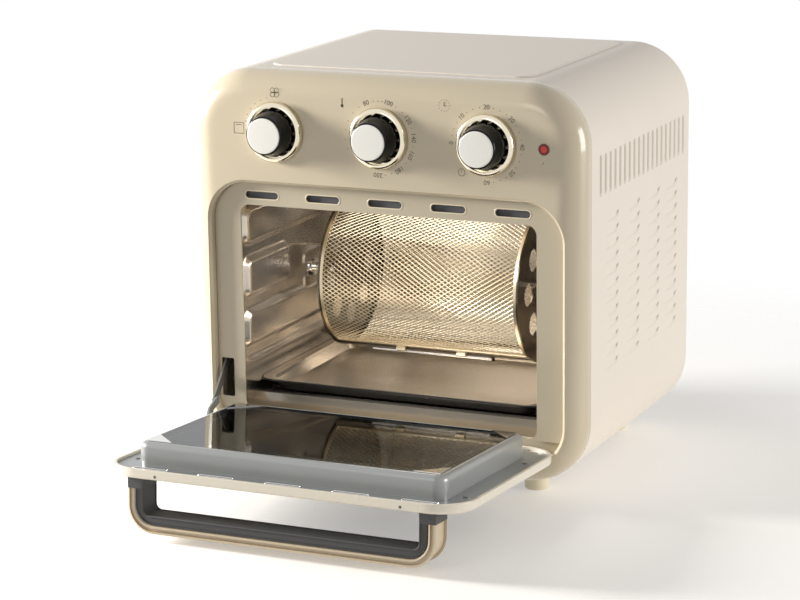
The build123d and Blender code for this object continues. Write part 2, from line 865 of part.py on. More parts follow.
keep(drum_shell, "drum_shell")

with BuildPart() as drum_lid:
    with BuildSketch(from_side(drum_left + 0.5)):
        with Locations((axle_y, axle_z)):
            Circle(drum_radius)
            Circle(drum_radius - drum_wall, mode=Mode.SUBTRACT)
        with BuildLine():
            Polyline(*sector(lid_low_angle + 0.5, lid_high_angle, 200), close=True)
        make_face(mode=Mode.INTERSECT)
    extrude(amount=drum_length - 1)
    for plane, places in diamond_rows(-41, lid_rows):
        with BuildSketch(plane):
            with Locations(*places):
                Polygon(*diamond, align=None)
        extrude(amount=-12, mode=Mode.SUBTRACT)
    # Knuckles beside the lugs
    for knuckle_x in (-31.5, 23.5):
        with BuildSketch(from_side(knuckle_x)):
            with BuildLine():
                Polyline(around_drum(-58.5, drum_radius - 0.6), around_drum(-58.5, drum_radius - 0.1),
                         around_drum(-62.8, lid_hinge_radius + 1.8), around_drum(-62.8, lid_hinge_radius - 1.8),
                         around_drum(-61.3, drum_radius - 0.6), close=True)
            make_face()
            with Locations(around_drum(lid_hinge_angle, lid_hinge_radius)):
                Circle(2.3)
                Circle(1.25, mode=Mode.SUBTRACT)
        extrude(amount=8)
keep(drum_lid, "drum_lid")

with BuildPart() as drum_hinge_pin:
    with BuildSketch(from_side(-54)):
        with Locations(around_drum(lid_hinge_angle, lid_hinge_radius)):
            Circle(1.2)
    extrude(amount=108)
keep(drum_hinge_pin, "drum_hinge_pin")

for name, disc_x in (("drum_disc_left", drum_left - 1.2), ("drum_disc_right", drum_right)):
    with BuildPart() as disc:
        with BuildSketch(from_side(disc_x)):
            with Locations((axle_y, axle_z)):
                Circle(drum_radius + 1)
                with PolarLocations(38, 8):
                    Circle(9.5, mode=Mode.SUBTRACT)
        extrude(amount=1.2)
    keep(disc, name)

with BuildPart() as drum_axle:
    with BuildSketch(from_side(drum_left - 3.2)):
        with Locations((axle_y, axle_z)):
            Circle(10)
    extrude(amount=2)
    with BuildSketch(from_side(-127)):
        with Locations((axle_y, axle_z)):
            Circle(4)
    extrude(amount=127 + drum_left - 2)
    chamfer(faces().sort_by(Axis.X)[0].edges(), length=0.8)
keep(drum_axle, "drum_axle")

with BuildPart() as drive_tang:
    with BuildSketch(from_side(drum_right + 1.2)):
        with Locations((axle_y, axle_z)):
            Circle(10)
    extrude(amount=2)
    with BuildSketch(from_side(drum_right + 2)):
        with Locations((axle_y, axle_z)):
            Circle(4)
    extrude(amount=coupler_left - 2 - drum_right - 2)
    with BuildSketch(from_side(coupler_left - 4)):
        with Locations((axle_y, axle_z)):
            Rectangle(tang_width, tang_thickness)
    extrude(amount=13)
keep(drive_tang, "drive_tang")


# Baking tray: a shallow pan with a flat rim
pan_wall = 1.2
tray_middle = at_depth((tray_front + tray_back) / 2)
pan_length = tray_back - tray_front - 6

pan_foot = 2 * tray_body_half_width - 12
pan_width = 2 * tray_body_half_width

with BuildPart() as pan_space:
    with BuildSketch(level(tray_low + pan_wall)):
        with Locations((0, tray_middle)):
            RectangleRounded(pan_foot - 2 * pan_wall, pan_length - 12 - 2 * pan_wall, 12)
    with BuildSketch(level(tray_rim + pan_wall)):
        with Locations((0, tray_middle)):
            RectangleRounded(pan_width - 2 * pan_wall, pan_length - 2 * pan_wall, 14)
    loft()
    fillet(faces().sort_by(Axis.Z)[0].edges(), radius=2)

with BuildPart() as baking_tray:
    with BuildSketch(level(tray_low)):
        with Locations((0, tray_middle)):
            RectangleRounded(pan_foot, pan_length - 12, 13)
    with BuildSketch(level(tray_rim)):
        with Locations((0, tray_middle)):
            RectangleRounded(pan_width, pan_length, 15)
    loft()
    fillet(faces().sort_by(Axis.Z)[0].edges(), radius=3)
    with BuildSketch(level(tray_rim - pan_wall)):
        with Locations((0, tray_middle)):
            RectangleRounded(2 * tray_half_width, tray_back - tray_front, 15)
    extrude(amount=pan_wall)
    add(pan_space.part, mode=Mode.SUBTRACT)
keep(baking_tray, "baking_tray")


# Door outer moulding with its window, glass rebate and liner recess
door_middle = at_height((door_low + door_high) / 2)
door_height = door_high - door_low
window_middle = at_height((window_low + window_high) / 2)
window_height = window_high - window_low
glass_lap = 5
liner_edge = 3

with BuildPart() as door_frame:
    with BuildSketch(facing(door_front)):
        with Locations((0, door_middle)):
            RectangleRounded(door_width, door_height, door_radius)
    extrude(amount=-door_thickness)
    fillet(faces().sort_by(Axis.Y)[0].edges(), radius=3)
    with BuildSketch(facing(door_front)):
        with Locations((0, window_middle)):
            RectangleRounded(window_width, window_height, 15)
    extrude(amount=-door_thickness, mode=Mode.SUBTRACT)
    with BuildSketch(facing(1.8)):
        with Locations((0, window_middle)):
            RectangleRounded(window_width + 2 * glass_lap, window_height + 2 * glass_lap, 18)
    extrude(amount=-10, mode=Mode.SUBTRACT)
    with BuildSketch(facing(liner_front)):
        with Locations((0, door_middle)):
            RectangleRounded(door_width - 2 * liner_edge, door_height - 2 * liner_edge, door_radius - liner_edge)
    extrude(amount=-10, mode=Mode.SUBTRACT)
    # Bores for the hinge pins
    for side in (-1, 1):
        with BuildSketch(from_side(side * 124)):
            with Locations((at_depth(hinge_depth), at_height(hinge_height))):
                Circle(pin_radius)
        extrude(amount=side * 30, mode=Mode.SUBTRACT)
    # Two screw holes in the top edge
    with BuildSketch(level(door_high)):
        with Locations(*[(side * 102, at_depth(3.4)) for side in (-1, 1)]):
            Circle(1.3)
    extrude(amount=-4, mode=Mode.SUBTRACT)
door_opened(door_frame)
keep(door_frame, "door_frame")

with BuildPart() as door_outer_glass:
    with BuildSketch(facing(1.85)):
        with Locations((0, window_middle)):
            RectangleRounded(window_width + 2 * glass_lap - 0.6, window_height + 2 * glass_lap - 0.6, 17.7)
    extrude(amount=-(liner_front - 1.85 - 0.05))
door_opened(door_outer_glass)
keep(door_outer_glass, "door_outer_glass")

# Steel liner of the door: slots near its top, and a hooked ear on the left for the check link
ear_x = -146.2
ear_thickness = 1.6
link_pin_radius = 25
link_pin_angle = -35 + door_open_angle
link_pin_depth = hinge_depth + link_pin_radius * sin(radians(link_pin_angle))
link_pin_height = hinge_height + link_pin_radius * cos(radians(link_pin_angle))
liner_gap = 0.3

with BuildPart() as door_liner:
    with BuildSketch(facing(liner_front)):
        with Locations((0, door_middle)):
            RectangleRounded(door_width - 2 * liner_edge - 2 * liner_gap, door_height - 2 * liner_edge - 2 * liner_gap,
                             door_radius - liner_edge - liner_gap)
        with Locations((0, window_middle)):
            RectangleRounded(window_width - 4, window_height - 4, 14, mode=Mode.SUBTRACT)
        # Lower corners cut away over the hinge pins
        with Locations((-138, at_height(24)), (138, at_height(24))):
            Rectangle(28, 11, mode=Mode.SUBTRACT)
        with Locations(*[(number * 56.3, at_height(215.5)) for number in range(-2, 3)]):
            SlotOverall(29.5, 3.2, mode=Mode.SUBTRACT)
        with Locations(*[(side * 138, at_height(height)) for side in (-1, 1) for height in (70, 190)]):
            Circle(1.5, mode=Mode.SUBTRACT)
    extrude(amount=-(liner_back - liner_front))
    with BuildSketch(from_side(ear_x - ear_thickness / 2)):
        with BuildLine():
            Polyline(
                (at_depth(liner_front), at_height(48)),
                (at_depth(link_pin_depth - 7), at_height(50)),
                (at_depth(link_pin_depth - 2.6), at_height(link_pin_height - 2.4)),
                (at_depth(link_pin_depth + 2.9), at_height(link_pin_height + 1.8)),
                (at_depth(link_pin_depth - 4), at_height(57)),
                (at_depth(liner_front), at_height(63)),
                close=True,
            )
        make_face()
        with Locations((at_depth(link_pin_depth), at_height(link_pin_height))):
            Circle(3.4)
    extrude(amount=ear_thickness)
    with BuildSketch(from_side(ear_x)):
        with Locations((at_depth(link_pin_depth), at_height(link_pin_height))):
            Circle(1.5)
    extrude(amount=-4)
door_opened(door_liner)
keep(door_liner, "door_liner")

inner_frame_middle = at_height((inner_frame_low + inner_frame_high) / 2)
inner_frame_height = inner_frame_high - inner_frame_low
inner_glass_middle = at_height((inner_glass_low + inner_glass_high) / 2)
inner_glass_height = inner_glass_high - inner_glass_low
inner_glass_thickness = 3.6

with BuildPart() as door_inner_frame:
    with BuildSketch(facing(liner_back)):
        with Locations((0, inner_frame_middle)):
            RectangleRounded(inner_frame_width, inner_frame_height, inner_frame_radius)
    extrude(amount=-(inner_frame_back - liner_back))
    fillet(faces().sort_by(Axis.Y)[-1].edges(), radius=inner_frame_round)
    with BuildSketch(facing(inner_frame_back - inner_glass_thickness)):
        with Locations((0, inner_glass_middle)):
            RectangleRounded(inner_glass_width, inner_glass_height, 3)
    extrude(amount=-5, mode=Mode.SUBTRACT)
    with BuildSketch(facing(liner_back)):
        with Locations((0, inner_glass_middle)):
            RectangleRounded(inner_glass_width - 22, inner_glass_height - 22, 8)
    extrude(amount=-20, mode=Mode.SUBTRACT)
door_opened(door_inner_frame)
keep(door_inner_frame, "door_inner_frame")

with BuildPart() as door_inner_glass:
    with BuildSketch(facing(inner_frame_back - inner_glass_thickness)):
        with Locations((0, inner_glass_middle)):
            RectangleRounded(inner_glass_width - 0.4, inner_glass_height - 0.4, 2.8)
    extrude(amount=-inner_glass_thickness)
door_opened(door_inner_glass)
keep(door_inner_glass, "door_inner_glass")

clip_leg = 21
clip_corner_x = inner_glass_width / 2 - 0.5
clip_corners = [(side_x, side_z) for side_x in (-1, 1) for side_z in (-1, 1)]

with BuildPart() as glass_clips:
    with BuildSketch(facing(inner_frame_back)):
        for side_x, side_z in clip_corners:
            corner_x = side_x * clip_corner_x
            corner_z = inner_glass_middle + side_z * (inner_glass_height / 2 - 0.5)
            with BuildLine():
                Polyline((corner_x, corner_z), (corner_x - side_x * clip_leg, corner_z),
                         (corner_x, corner_z - side_z * clip_leg), close=True)
            make_face()
    extrude(amount=-0.8)
door_opened(glass_clips)
keep(glass_clips, "glass_clips")

with BuildPart() as door_hinge_pins:
    for side in (-1, 1):
        with BuildSketch(from_side(side * 126)):
            with Locations((at_depth(hinge_depth), at_height(hinge_height))):
                Circle(pin_radius)
        extrude(amount=side * 23)
door_opened(door_hinge_pins)
keep(door_hinge_pins, "door_hinge_pins")


# Bow handle: a dark core with a socket at each leg, and a pale cover round its outside
handle_depth = handle_high - handle_low
leg_core = 6.7
socket_front = -8.5
cover_inset = handle_half_width - 7
outer_bend = 22
inner_bend = 15

with BuildPart() as handle_core_bow:
    with BuildSketch(level(handle_low)):
        with BuildLine():
            FilletPolyline(
                (-cover_inset, at_depth(door_front)),
                (-cover_inset, at_depth(handle_front + handle_core)),
                (cover_inset, at_depth(handle_front + handle_core)),
                (cover_inset, at_depth(door_front)),
                radius=inner_bend,
            )
            Line((cover_inset, at_depth(door_front)), (-cover_inset, at_depth(door_front)))
        make_face()
        with BuildLine():
            FilletPolyline(
                (-cover_inset + leg_core, at_depth(5)),
                (-cover_inset + leg_core, at_depth(handle_front + handle_bar)),
                (cover_inset - leg_core, at_depth(handle_front + handle_bar)),
                (cover_inset - leg_core, at_depth(5)),
                radius=5,
            )
            Line((cover_inset - leg_core, at_depth(5)), (-cover_inset + leg_core, at_depth(5)))
        make_face(mode=Mode.SUBTRACT)
        for side in (-1, 1):
            with Locations((side * (handle_half_width - 3.6), at_depth((door_front + socket_front) / 2))):
                Rectangle(7.2, door_front - socket_front)
    extrude(amount=handle_depth)
door_opened(handle_core_bow)
keep(handle_core_bow, "handle_grip")

with BuildPart() as handle_cover:
    with BuildSketch(level(handle_low)):
        with BuildLine():
            FilletPolyline(
                (-handle_half_width, at_depth(socket_front)),
                (-handle_half_width, at_depth(handle_front)),
                (handle_half_width, at_depth(handle_front)),
                (handle_half_width, at_depth(socket_front)),
                radius=outer_bend,
            )
            Line((handle_half_width, at_depth(socket_front)), (-handle_half_width, at_depth(socket_front)))
        make_face()
        with BuildLine():
            FilletPolyline(
                (-cover_inset, at_depth(5)),
                (-cover_inset, at_depth(handle_front + handle_core)),
                (cover_inset, at_depth(handle_front + handle_core)),
                (cover_inset, at_depth(5)),
                radius=inner_bend,
            )
            Line((cover_inset, at_depth(5)), (-cover_inset, at_depth(5)))
        make_face(mode=Mode.SUBTRACT)
    extrude(amount=handle_depth)
door_opened(handle_cover)
keep(handle_cover, "handle_cover")


# Check link: a flat arm pinned to the ear of the door, whose slotted end rides on the wall stud
link_width = 7
link_thickness = 1.5
link_x = -148.2
link_slot_near = 41.4
link_slot_far = 56.2
link_slot_width = 7.6
link_slot_offset = -2.05
link_head_width = 12.4
pin_open_angle = link_pin_angle - door_open_angle
pin_open = (at_depth(hinge_depth + link_pin_radius * sin(radians(pin_open_angle))),
            at_height(hinge_height + link_pin_radius * cos(radians(pin_open_angle))))
stud = (at_depth(stud_depth), at_height(stud_height))
link_angle = degrees(atan2(stud[1] - pin_open[1], stud[0] - pin_open[0]))


def along_link(distance, aside=0):
    """Point on the side plane at a distance along and aside from the axis of the open check link."""
    slope = radians(link_angle)
    return (pin_open[0] + distance * cos(slope) - aside * sin(slope),
            pin_open[1] + distance * sin(slope) + aside * cos(slope))


with BuildPart() as check_link:
    with BuildSketch(from_side(link_x - link_thickness / 2)):
        with Locations(along_link(link_slot_near * 0.45)):
            SlotCenterToCenter(link_slot_near * 0.9, link_width, rotation=link_angle)
        with Locations(along_link((link_slot_near + link_slot_far) / 2, link_slot_offset)):
            SlotCenterToCenter(link_slot_far - link_slot_near, link_head_width, rotation=link_angle)
            SlotCenterToCenter(link_slot_far - link_slot_near, link_slot_width, rotation=link_angle,
                               mode=Mode.SUBTRACT)
        with Locations(pin_open):
            Circle(1.55, mode=Mode.SUBTRACT)
    extrude(amount=link_thickness)
keep(check_link, "check_link")
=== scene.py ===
"""Looks of a countertop air fryer oven with a drop-down glass door.

Lengths are in millimetres until place() turns them into the row frame in metres.
A place is given by x (right), depth (behind the plane of the control panel) and
height (above the underside of the cabinet).
"""

from __future__ import annotations

import logging
import math
from dataclasses import dataclass
from enum import Enum
from typing import Iterable, Sequence

import bmesh
import bpy
import numpy as np
from mathutils import Matrix, Vector

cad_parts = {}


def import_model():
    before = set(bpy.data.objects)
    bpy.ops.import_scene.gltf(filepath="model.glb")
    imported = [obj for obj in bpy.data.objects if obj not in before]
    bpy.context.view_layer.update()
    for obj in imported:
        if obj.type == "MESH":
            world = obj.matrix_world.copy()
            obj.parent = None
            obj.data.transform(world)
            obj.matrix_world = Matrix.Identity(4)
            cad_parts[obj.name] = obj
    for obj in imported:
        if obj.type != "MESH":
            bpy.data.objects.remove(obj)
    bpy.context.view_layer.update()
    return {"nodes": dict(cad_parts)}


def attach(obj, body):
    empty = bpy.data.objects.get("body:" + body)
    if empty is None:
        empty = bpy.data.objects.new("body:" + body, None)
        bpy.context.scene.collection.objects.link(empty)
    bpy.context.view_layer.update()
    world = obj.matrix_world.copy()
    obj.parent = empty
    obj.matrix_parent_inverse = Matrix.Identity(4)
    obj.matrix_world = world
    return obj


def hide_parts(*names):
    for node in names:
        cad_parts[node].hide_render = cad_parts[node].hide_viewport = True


MM = 0.001
PANEL_Y = -33.91
FOOT_HEIGHT = 15.0
HINGE_DEPTH = 4.0
HINGE_HEIGHT = 26.5
DOOR_ANGLE = math.radians(86.5)
LOG = logging.getLogger("oven")

Stroke = tuple[float, float, float, float, float]


def place(x: np.ndarray, depth: np.ndarray, height: np.ndarray) -> np.ndarray:
    """Row-frame points in metres of places in millimetres.

    Args:
        x: Distances to the right of the middle.
        depth: Distances behind the control panel.
        height: Heights above the underside of the cabinet.

    Returns:
        Points with the shape of the inputs and a last axis of three.
    """
    x, depth, height = np.broadcast_arrays(x, depth, height)
    return np.stack([x, depth + PANEL_Y, height + FOOT_HEIGHT], axis=-1) * MM


def opened(points: np.ndarray) -> np.ndarray:
    """Turn points drawn on the closed door down to the open door.

    The points turn about the door pins: new y is cos times y less sin times z, and new
    z is sin times y plus cos times z, with y and z counted from the pins.

    Args:
        points: Row-frame points in metres on the closed door.

    Returns:
        The same points on the open door.
    """
    y = points[..., 1] - (PANEL_Y + HINGE_DEPTH) * MM
    z = points[..., 2] - (FOOT_HEIGHT + HINGE_HEIGHT) * MM
    turned_points = points.copy()
    turned_points[..., 1] += y * math.cos(DOOR_ANGLE) - z * math.sin(DOOR_ANGLE) - y
    turned_points[..., 2] += y * math.sin(DOOR_ANGLE) + z * math.cos(DOOR_ANGLE) - z
    return turned_points


def smooth_step(distance: np.ndarray, width: float) -> np.ndarray:
    """Ramp from 0 to 1 as distance goes from 0 to width, with flat ends (3t^2 - 2t^3)."""
    t = np.clip(distance / width, 0.0, 1.0)
    return t * t * (3.0 - 2.0 * t)


def inside_box(u: np.ndarray, v: np.ndarray, centre: tuple[float, float], size: tuple[float, float],
               radius: float) -> np.ndarray:
    """Distance inside a rounded rectangle, positive inside.

    The distance is that to the box shrunk by the radius, less the radius.

    Args:
        u: First coordinates.
        v: Second coordinates.
        centre: Middle of the rectangle.
        size: Full width and height of the rectangle.
        radius: Corner radius.

    Returns:
        Distances with the shape of the inputs.
    """
    du = np.abs(u - centre[0]) - (size[0] / 2 - radius)
    dv = np.abs(v - centre[1]) - (size[1] / 2 - radius)
    outside = np.hypot(np.maximum(du, 0.0), np.maximum(dv, 0.0))
    return radius - outside - np.minimum(np.maximum(du, dv), 0.0)


def rounded_loops(width: np.ndarray, height: np.ndarray, radius: np.ndarray, arc: int = 14,
                  edge: int = 3) -> np.ndarray:
    """Closed rounded rectangles, all with the same number of points.

    Each corner is its centre plus the radius times the cosine and sine of an even sweep,
    and the straight edges are even steps between the ends of the corners.

    Args:
        width: Full widths, one for each loop.
        height: Full heights, one for each loop.
        radius: Corner radii, one for each loop.
        arc: Steps in each corner.
        edge: Points on each straight edge.

    Returns:
        Array of loops by points by two.
    """
    width, height, radius = np.broadcast_arrays(*np.atleast_1d(width, height, radius))
    signs = np.array([[1, 1], [-1, 1], [-1, -1], [1, -1]], float)
    half = np.stack([width / 2 - radius, height / 2 - radius], axis=-1)
    centres = half[:, None, None, :] * signs[None, :, None, :]
    sweep = np.arange(4)[:, None] * math.pi / 2 + np.linspace(0, math.pi / 2, arc + 1)[None, :]
    circle = np.stack([np.cos(sweep), np.sin(sweep)], axis=-1)
    corners = centres + radius[:, None, None, None] * circle[None]
    starts = np.roll(corners[:, :, :1], -1, axis=1)
    share = (np.arange(1, edge + 1) / (edge + 1))[None, None, :, None]
    edges = corners[:, :, -1:] * (1 - share) + starts * share
    return np.concatenate([corners, edges], axis=2).reshape(len(width), -1, 2)


def stacked(rows: Sequence[Sequence[float]], arc: int = 14, edge: int = 3) -> np.ndarray:
    """Rounded rectangles that face the front, one behind the other.

    Args:
        rows: Width, height, corner radius, middle height and depth of each loop.
        arc: Steps in each corner.
        edge: Points on each straight edge.

    Returns:
        Row-frame points, loops by points by three.
    """
    data = np.array(rows, float)
    loops = rounded_loops(data[:, 0], data[:, 1], data[:, 2], arc, edge)
    return place(loops[..., 0], data[:, 4][:, None], loops[..., 1] + data[:, 3][:, None])


def rounded_edge(depth_from: float, depth_to: float, radius: float, steps: int = 5) -> np.ndarray:
    """Inset and depth of a quarter round that goes from a side face to a front face.

    Inset is radius times one less cosine and depth moves by radius times sine.

    Args:
        depth_from: Depth at which the side face ends.
        depth_to: Depth of the front face.
        radius: Radius of the round across the face.
        steps: Steps in the round.

    Returns:
        Array of steps by inset and depth.
    """
    sweep = np.linspace(0, math.pi / 2, steps + 1)
    inset = radius * (1 - np.cos(sweep))
    depth = depth_from + (depth_to - depth_from) * np.sin(sweep)
    return np.stack([inset, depth], axis=-1)


def turned(x: float, height: float, radii: np.ndarray, depths: np.ndarray, steps: int = 64) -> np.ndarray:
    """Surface turned about an axis that runs from front to back.

    Args:
        x: Place of the axis.
        height: Height of the axis.
        radii: Radii, one a row, or rows by steps where the section isn't round.
        depths: Depths of the rows.
        steps: Points in each ring.

    Returns:
        Row-frame points, rows by steps by three.
    """
    angle = np.arange(steps) * 2 * math.pi / steps
    radii = np.asarray(radii, float)
    if radii.ndim == 1:
        radii = radii[:, None]
    return place(x + radii * np.cos(angle), np.asarray(depths, float)[:, None], height + radii * np.sin(angle))


class Pattern(Enum):
    """How the colour and the surface of a finish vary."""

    FINE = "fine grain"
    # Painted shade: the slots and louvre ends of the wrap are darkened in the colour, for the shade inside them.
    VENTED = "darker in the openings"
    CLEAR = "clear"


def linear(colour: tuple[float, float, float]) -> tuple[float, float, float, float]:
    """Linear colour and alpha of a display colour given from 0 to 255."""
    parts = [c / 255 for c in colour]
    return tuple(p / 12.92 if p <= 0.04045 else ((p + 0.055) / 1.055) ** 2.4 for p in parts) + (1.0,)


@dataclass(frozen=True)
class Finish:
    """One finish of the oven: colour, gloss and fine surface."""

    name: str
    colour: tuple[float, float, float]
    roughness: float
    metallic: float = 0.0
    coat: float = 0.0
    pattern: Pattern = Pattern.FINE
    grain: float = 900.0
    relief: float = 0.02
    variation: float = 0.04
    transmission: float = 0.0
    specular: float = 0.5
    ior: float = 1.5

    def material(self) -> bpy.types.Material:
        """Make the node material of this finish, or return the one already made.

        Returns:
            The material.
        """
        made = bpy.data.materials.get(self.name)
        if made is not None:
            return made
        made = bpy.data.materials.new(self.name)
        made.use_nodes = True
        nodes, links = made.node_tree.nodes, made.node_tree.links
        shader = nodes["Principled BSDF"]
        shader.inputs["Metallic"].default_value = self.metallic
        shader.inputs["Coat Weight"].default_value = self.coat
        shader.inputs["Specular IOR Level"].default_value = self.specular
        shader.inputs["IOR"].default_value = self.ior
        shader.inputs["Coat Roughness"].default_value = 0.06
        shader.inputs["Transmission Weight"].default_value = self.transmission
        where = nodes.new("ShaderNodeTexCoord")
        grain = nodes.new("ShaderNodeTexNoise")
        grain.inputs["Scale"].default_value = self.grain
        grain.inputs["Detail"].default_value = 3.0
        links.new(where.outputs["Object"], grain.inputs["Vector"])
        patches = nodes.new("ShaderNodeTexNoise")
        patches.inputs["Scale"].default_value = 9.0
        patches.inputs["Detail"].default_value = 4.0
        links.new(where.outputs["Object"], patches.inputs["Vector"])
        self._colour(nodes, links, shader, patches)
        rough = nodes.new("ShaderNodeMapRange")
        rough.inputs["To Min"].default_value = max(self.roughness - 0.03, 0.0)
        rough.inputs["To Max"].default_value = self.roughness + 0.05
        links.new(patches.outputs["Fac"], rough.inputs["Value"])
        links.new(rough.outputs["Result"], shader.inputs["Roughness"])
        bump = nodes.new("ShaderNodeBump")
        bump.inputs["Strength"].default_value = self.relief
        bump.inputs["Distance"].default_value = 0.0004
        links.new(grain.outputs["Fac"], bump.inputs["Height"])
        links.new(bump.outputs["Normal"], shader.inputs["Normal"])
        return made

    def _colour(self, nodes: bpy.types.Nodes, links: bpy.types.NodeLinks, shader: bpy.types.Node,
                patches: bpy.types.Node) -> None:
        """Join the colour of the finish to its shader.

        Args:
            nodes: Nodes of the material.
            links: Links of the material.
            shader: The shader that takes the colour.
            patches: Slow noise that varies the colour.
        """
        red, green, blue, alpha = linear(self.colour)
        ramp = nodes.new("ShaderNodeValToRGB")
        low, high = 1 - self.variation, 1 + self.variation
        ramp.color_ramp.elements[0].position = 0.3
        ramp.color_ramp.elements[1].position = 0.7
        ramp.color_ramp.elements[0].color = (red * low, green * low, blue * low, alpha)
        ramp.color_ramp.elements[1].color = (min(red * high, 1), min(green * high, 1), min(blue * high, 1), alpha)
        links.new(patches.outputs["Fac"], ramp.inputs["Fac"])
        source = ramp.outputs["Color"]
        if self.pattern is Pattern.VENTED:
            # Painted shade: a point attribute darkens the colour in the slots and at the open louvre ends, for
            # the shade inside them.
            opening_shade = nodes.new("ShaderNodeAttribute")
            opening_shade.attribute_name = "opening_shade"
            mix = nodes.new("ShaderNodeMix")
            mix.data_type = "RGBA"
            mix.inputs["B"].default_value = (red * 0.16, green * 0.12, blue * 0.08, 1.0)
            links.new(opening_shade.outputs["Fac"], mix.inputs["Factor"])
            links.new(source, mix.inputs["A"])
            source = mix.outputs["Result"]
        links.new(source, shader.inputs["Base Color"])


class Palette(Enum):
    """The finishes of the oven."""

    # The case colour carries painted shade in its slots and louvre ends.
    CASE = Finish("case_cream", (232, 223, 210), 0.36, specular=0.25, pattern=Pattern.VENTED, relief=0.02,
                  variation=0.015)
    PANEL = Finish("panel_beige", (206, 193, 167), 0.2, coat=0.5, relief=0.012, variation=0.02)
    RECESS = Finish("recess_enamel", (192, 181, 158), 0.34, coat=0.2, variation=0.02)
    # Painted highlight: a lighter copy of the recess enamel for the rolled vent rims.
    RECESS_EDGE = Finish("recess_highlight", (226, 214, 188), 0.26, coat=0.3, variation=0.02)
    CAVITY = Finish("cavity_sheet", (214, 205, 192), 0.22, metallic=0.85, relief=0.03, variation=0.04)
    ZINC = Finish("zinc_sheet", (176, 178, 180), 0.42, metallic=0.9, relief=0.05, variation=0.1)
    CHROME = Finish("bright_steel", (214, 212, 208), 0.12, metallic=1.0, relief=0.01)
    SKIRT = Finish("skirt_steel", (232, 222, 200), 0.14, metallic=1.0, relief=0.01)
    MESH = Finish("mesh_steel", (214, 200, 172), 0.3, metallic=1.0, relief=0.01)
    DISC = Finish("disc_steel", (112, 102, 88), 0.2, metallic=1.0, relief=0.02, variation=0.12)
    BLACK = Finish("black_plastic", (14, 13, 13), 0.34, relief=0.06, grain=1600.0, specular=0.2)
    BLACK_GLOSS = Finish("black_gloss", (6, 6, 6), 0.14, relief=0.01, specular=0.22)
    COVER = Finish("cover_cream", (196, 180, 154), 0.28, coat=0.15, relief=0.02, variation=0.02)
    RIM = Finish("rim_cream", (222, 214, 198), 0.26, coat=0.25, relief=0.02, variation=0.02)
    DARK = Finish("dark_enamel", (22, 20, 19), 0.32, relief=0.05, specular=0.35)
    RAISED = Finish("raised_enamel", (156, 158, 157), 0.3, metallic=0.3, relief=0.04, variation=0.03)
    LINER = Finish("liner_sheet", (146, 149, 150), 0.26, metallic=0.55, relief=0.04, variation=0.03)
    # The panes are tinted dark, so that what is seen through the door comes out dark.
    GLASS = Finish("darkened_glass", (82, 90, 92), 0.015, transmission=1.0, pattern=Pattern.CLEAR, relief=0.0,
                   variation=0.0, ior=1.28)
    CAP = Finish("pearl_cap", (236, 234, 227), 0.24, metallic=0.1, coat=0.25, relief=0.01, variation=0.01)
    LENS = Finish("red_lens", (140, 8, 7), 0.1, coat=0.4, relief=0.0, variation=0.1)
    BEZEL = Finish("red_bezel", (104, 18, 15), 0.3, coat=0.1, relief=0.02)
    RUBBER = Finish("foot_cream", (226, 216, 190), 0.55, relief=0.1)
    MOTOR = Finish("motor_black", (38, 38, 40), 0.5, relief=0.15)
    ALUMINIUM = Finish("fan_sheet", (196, 198, 200), 0.35, metallic=0.9, relief=0.05)
    HEATER = Finish("heater_sheath", (98, 94, 90), 0.45, metallic=0.7, relief=0.1, variation=0.12)
    PRINT = Finish("panel_print", (92, 82, 66), 0.5, relief=0.0, variation=0.0)
    TRAY = Finish("tray_enamel", (26, 24, 23), 0.26, coat=0.3, relief=0.03)
    TRAY_INSIDE = Finish("tray_sheet", (222, 210, 192), 0.2, metallic=0.85, relief=0.04, variation=0.06)


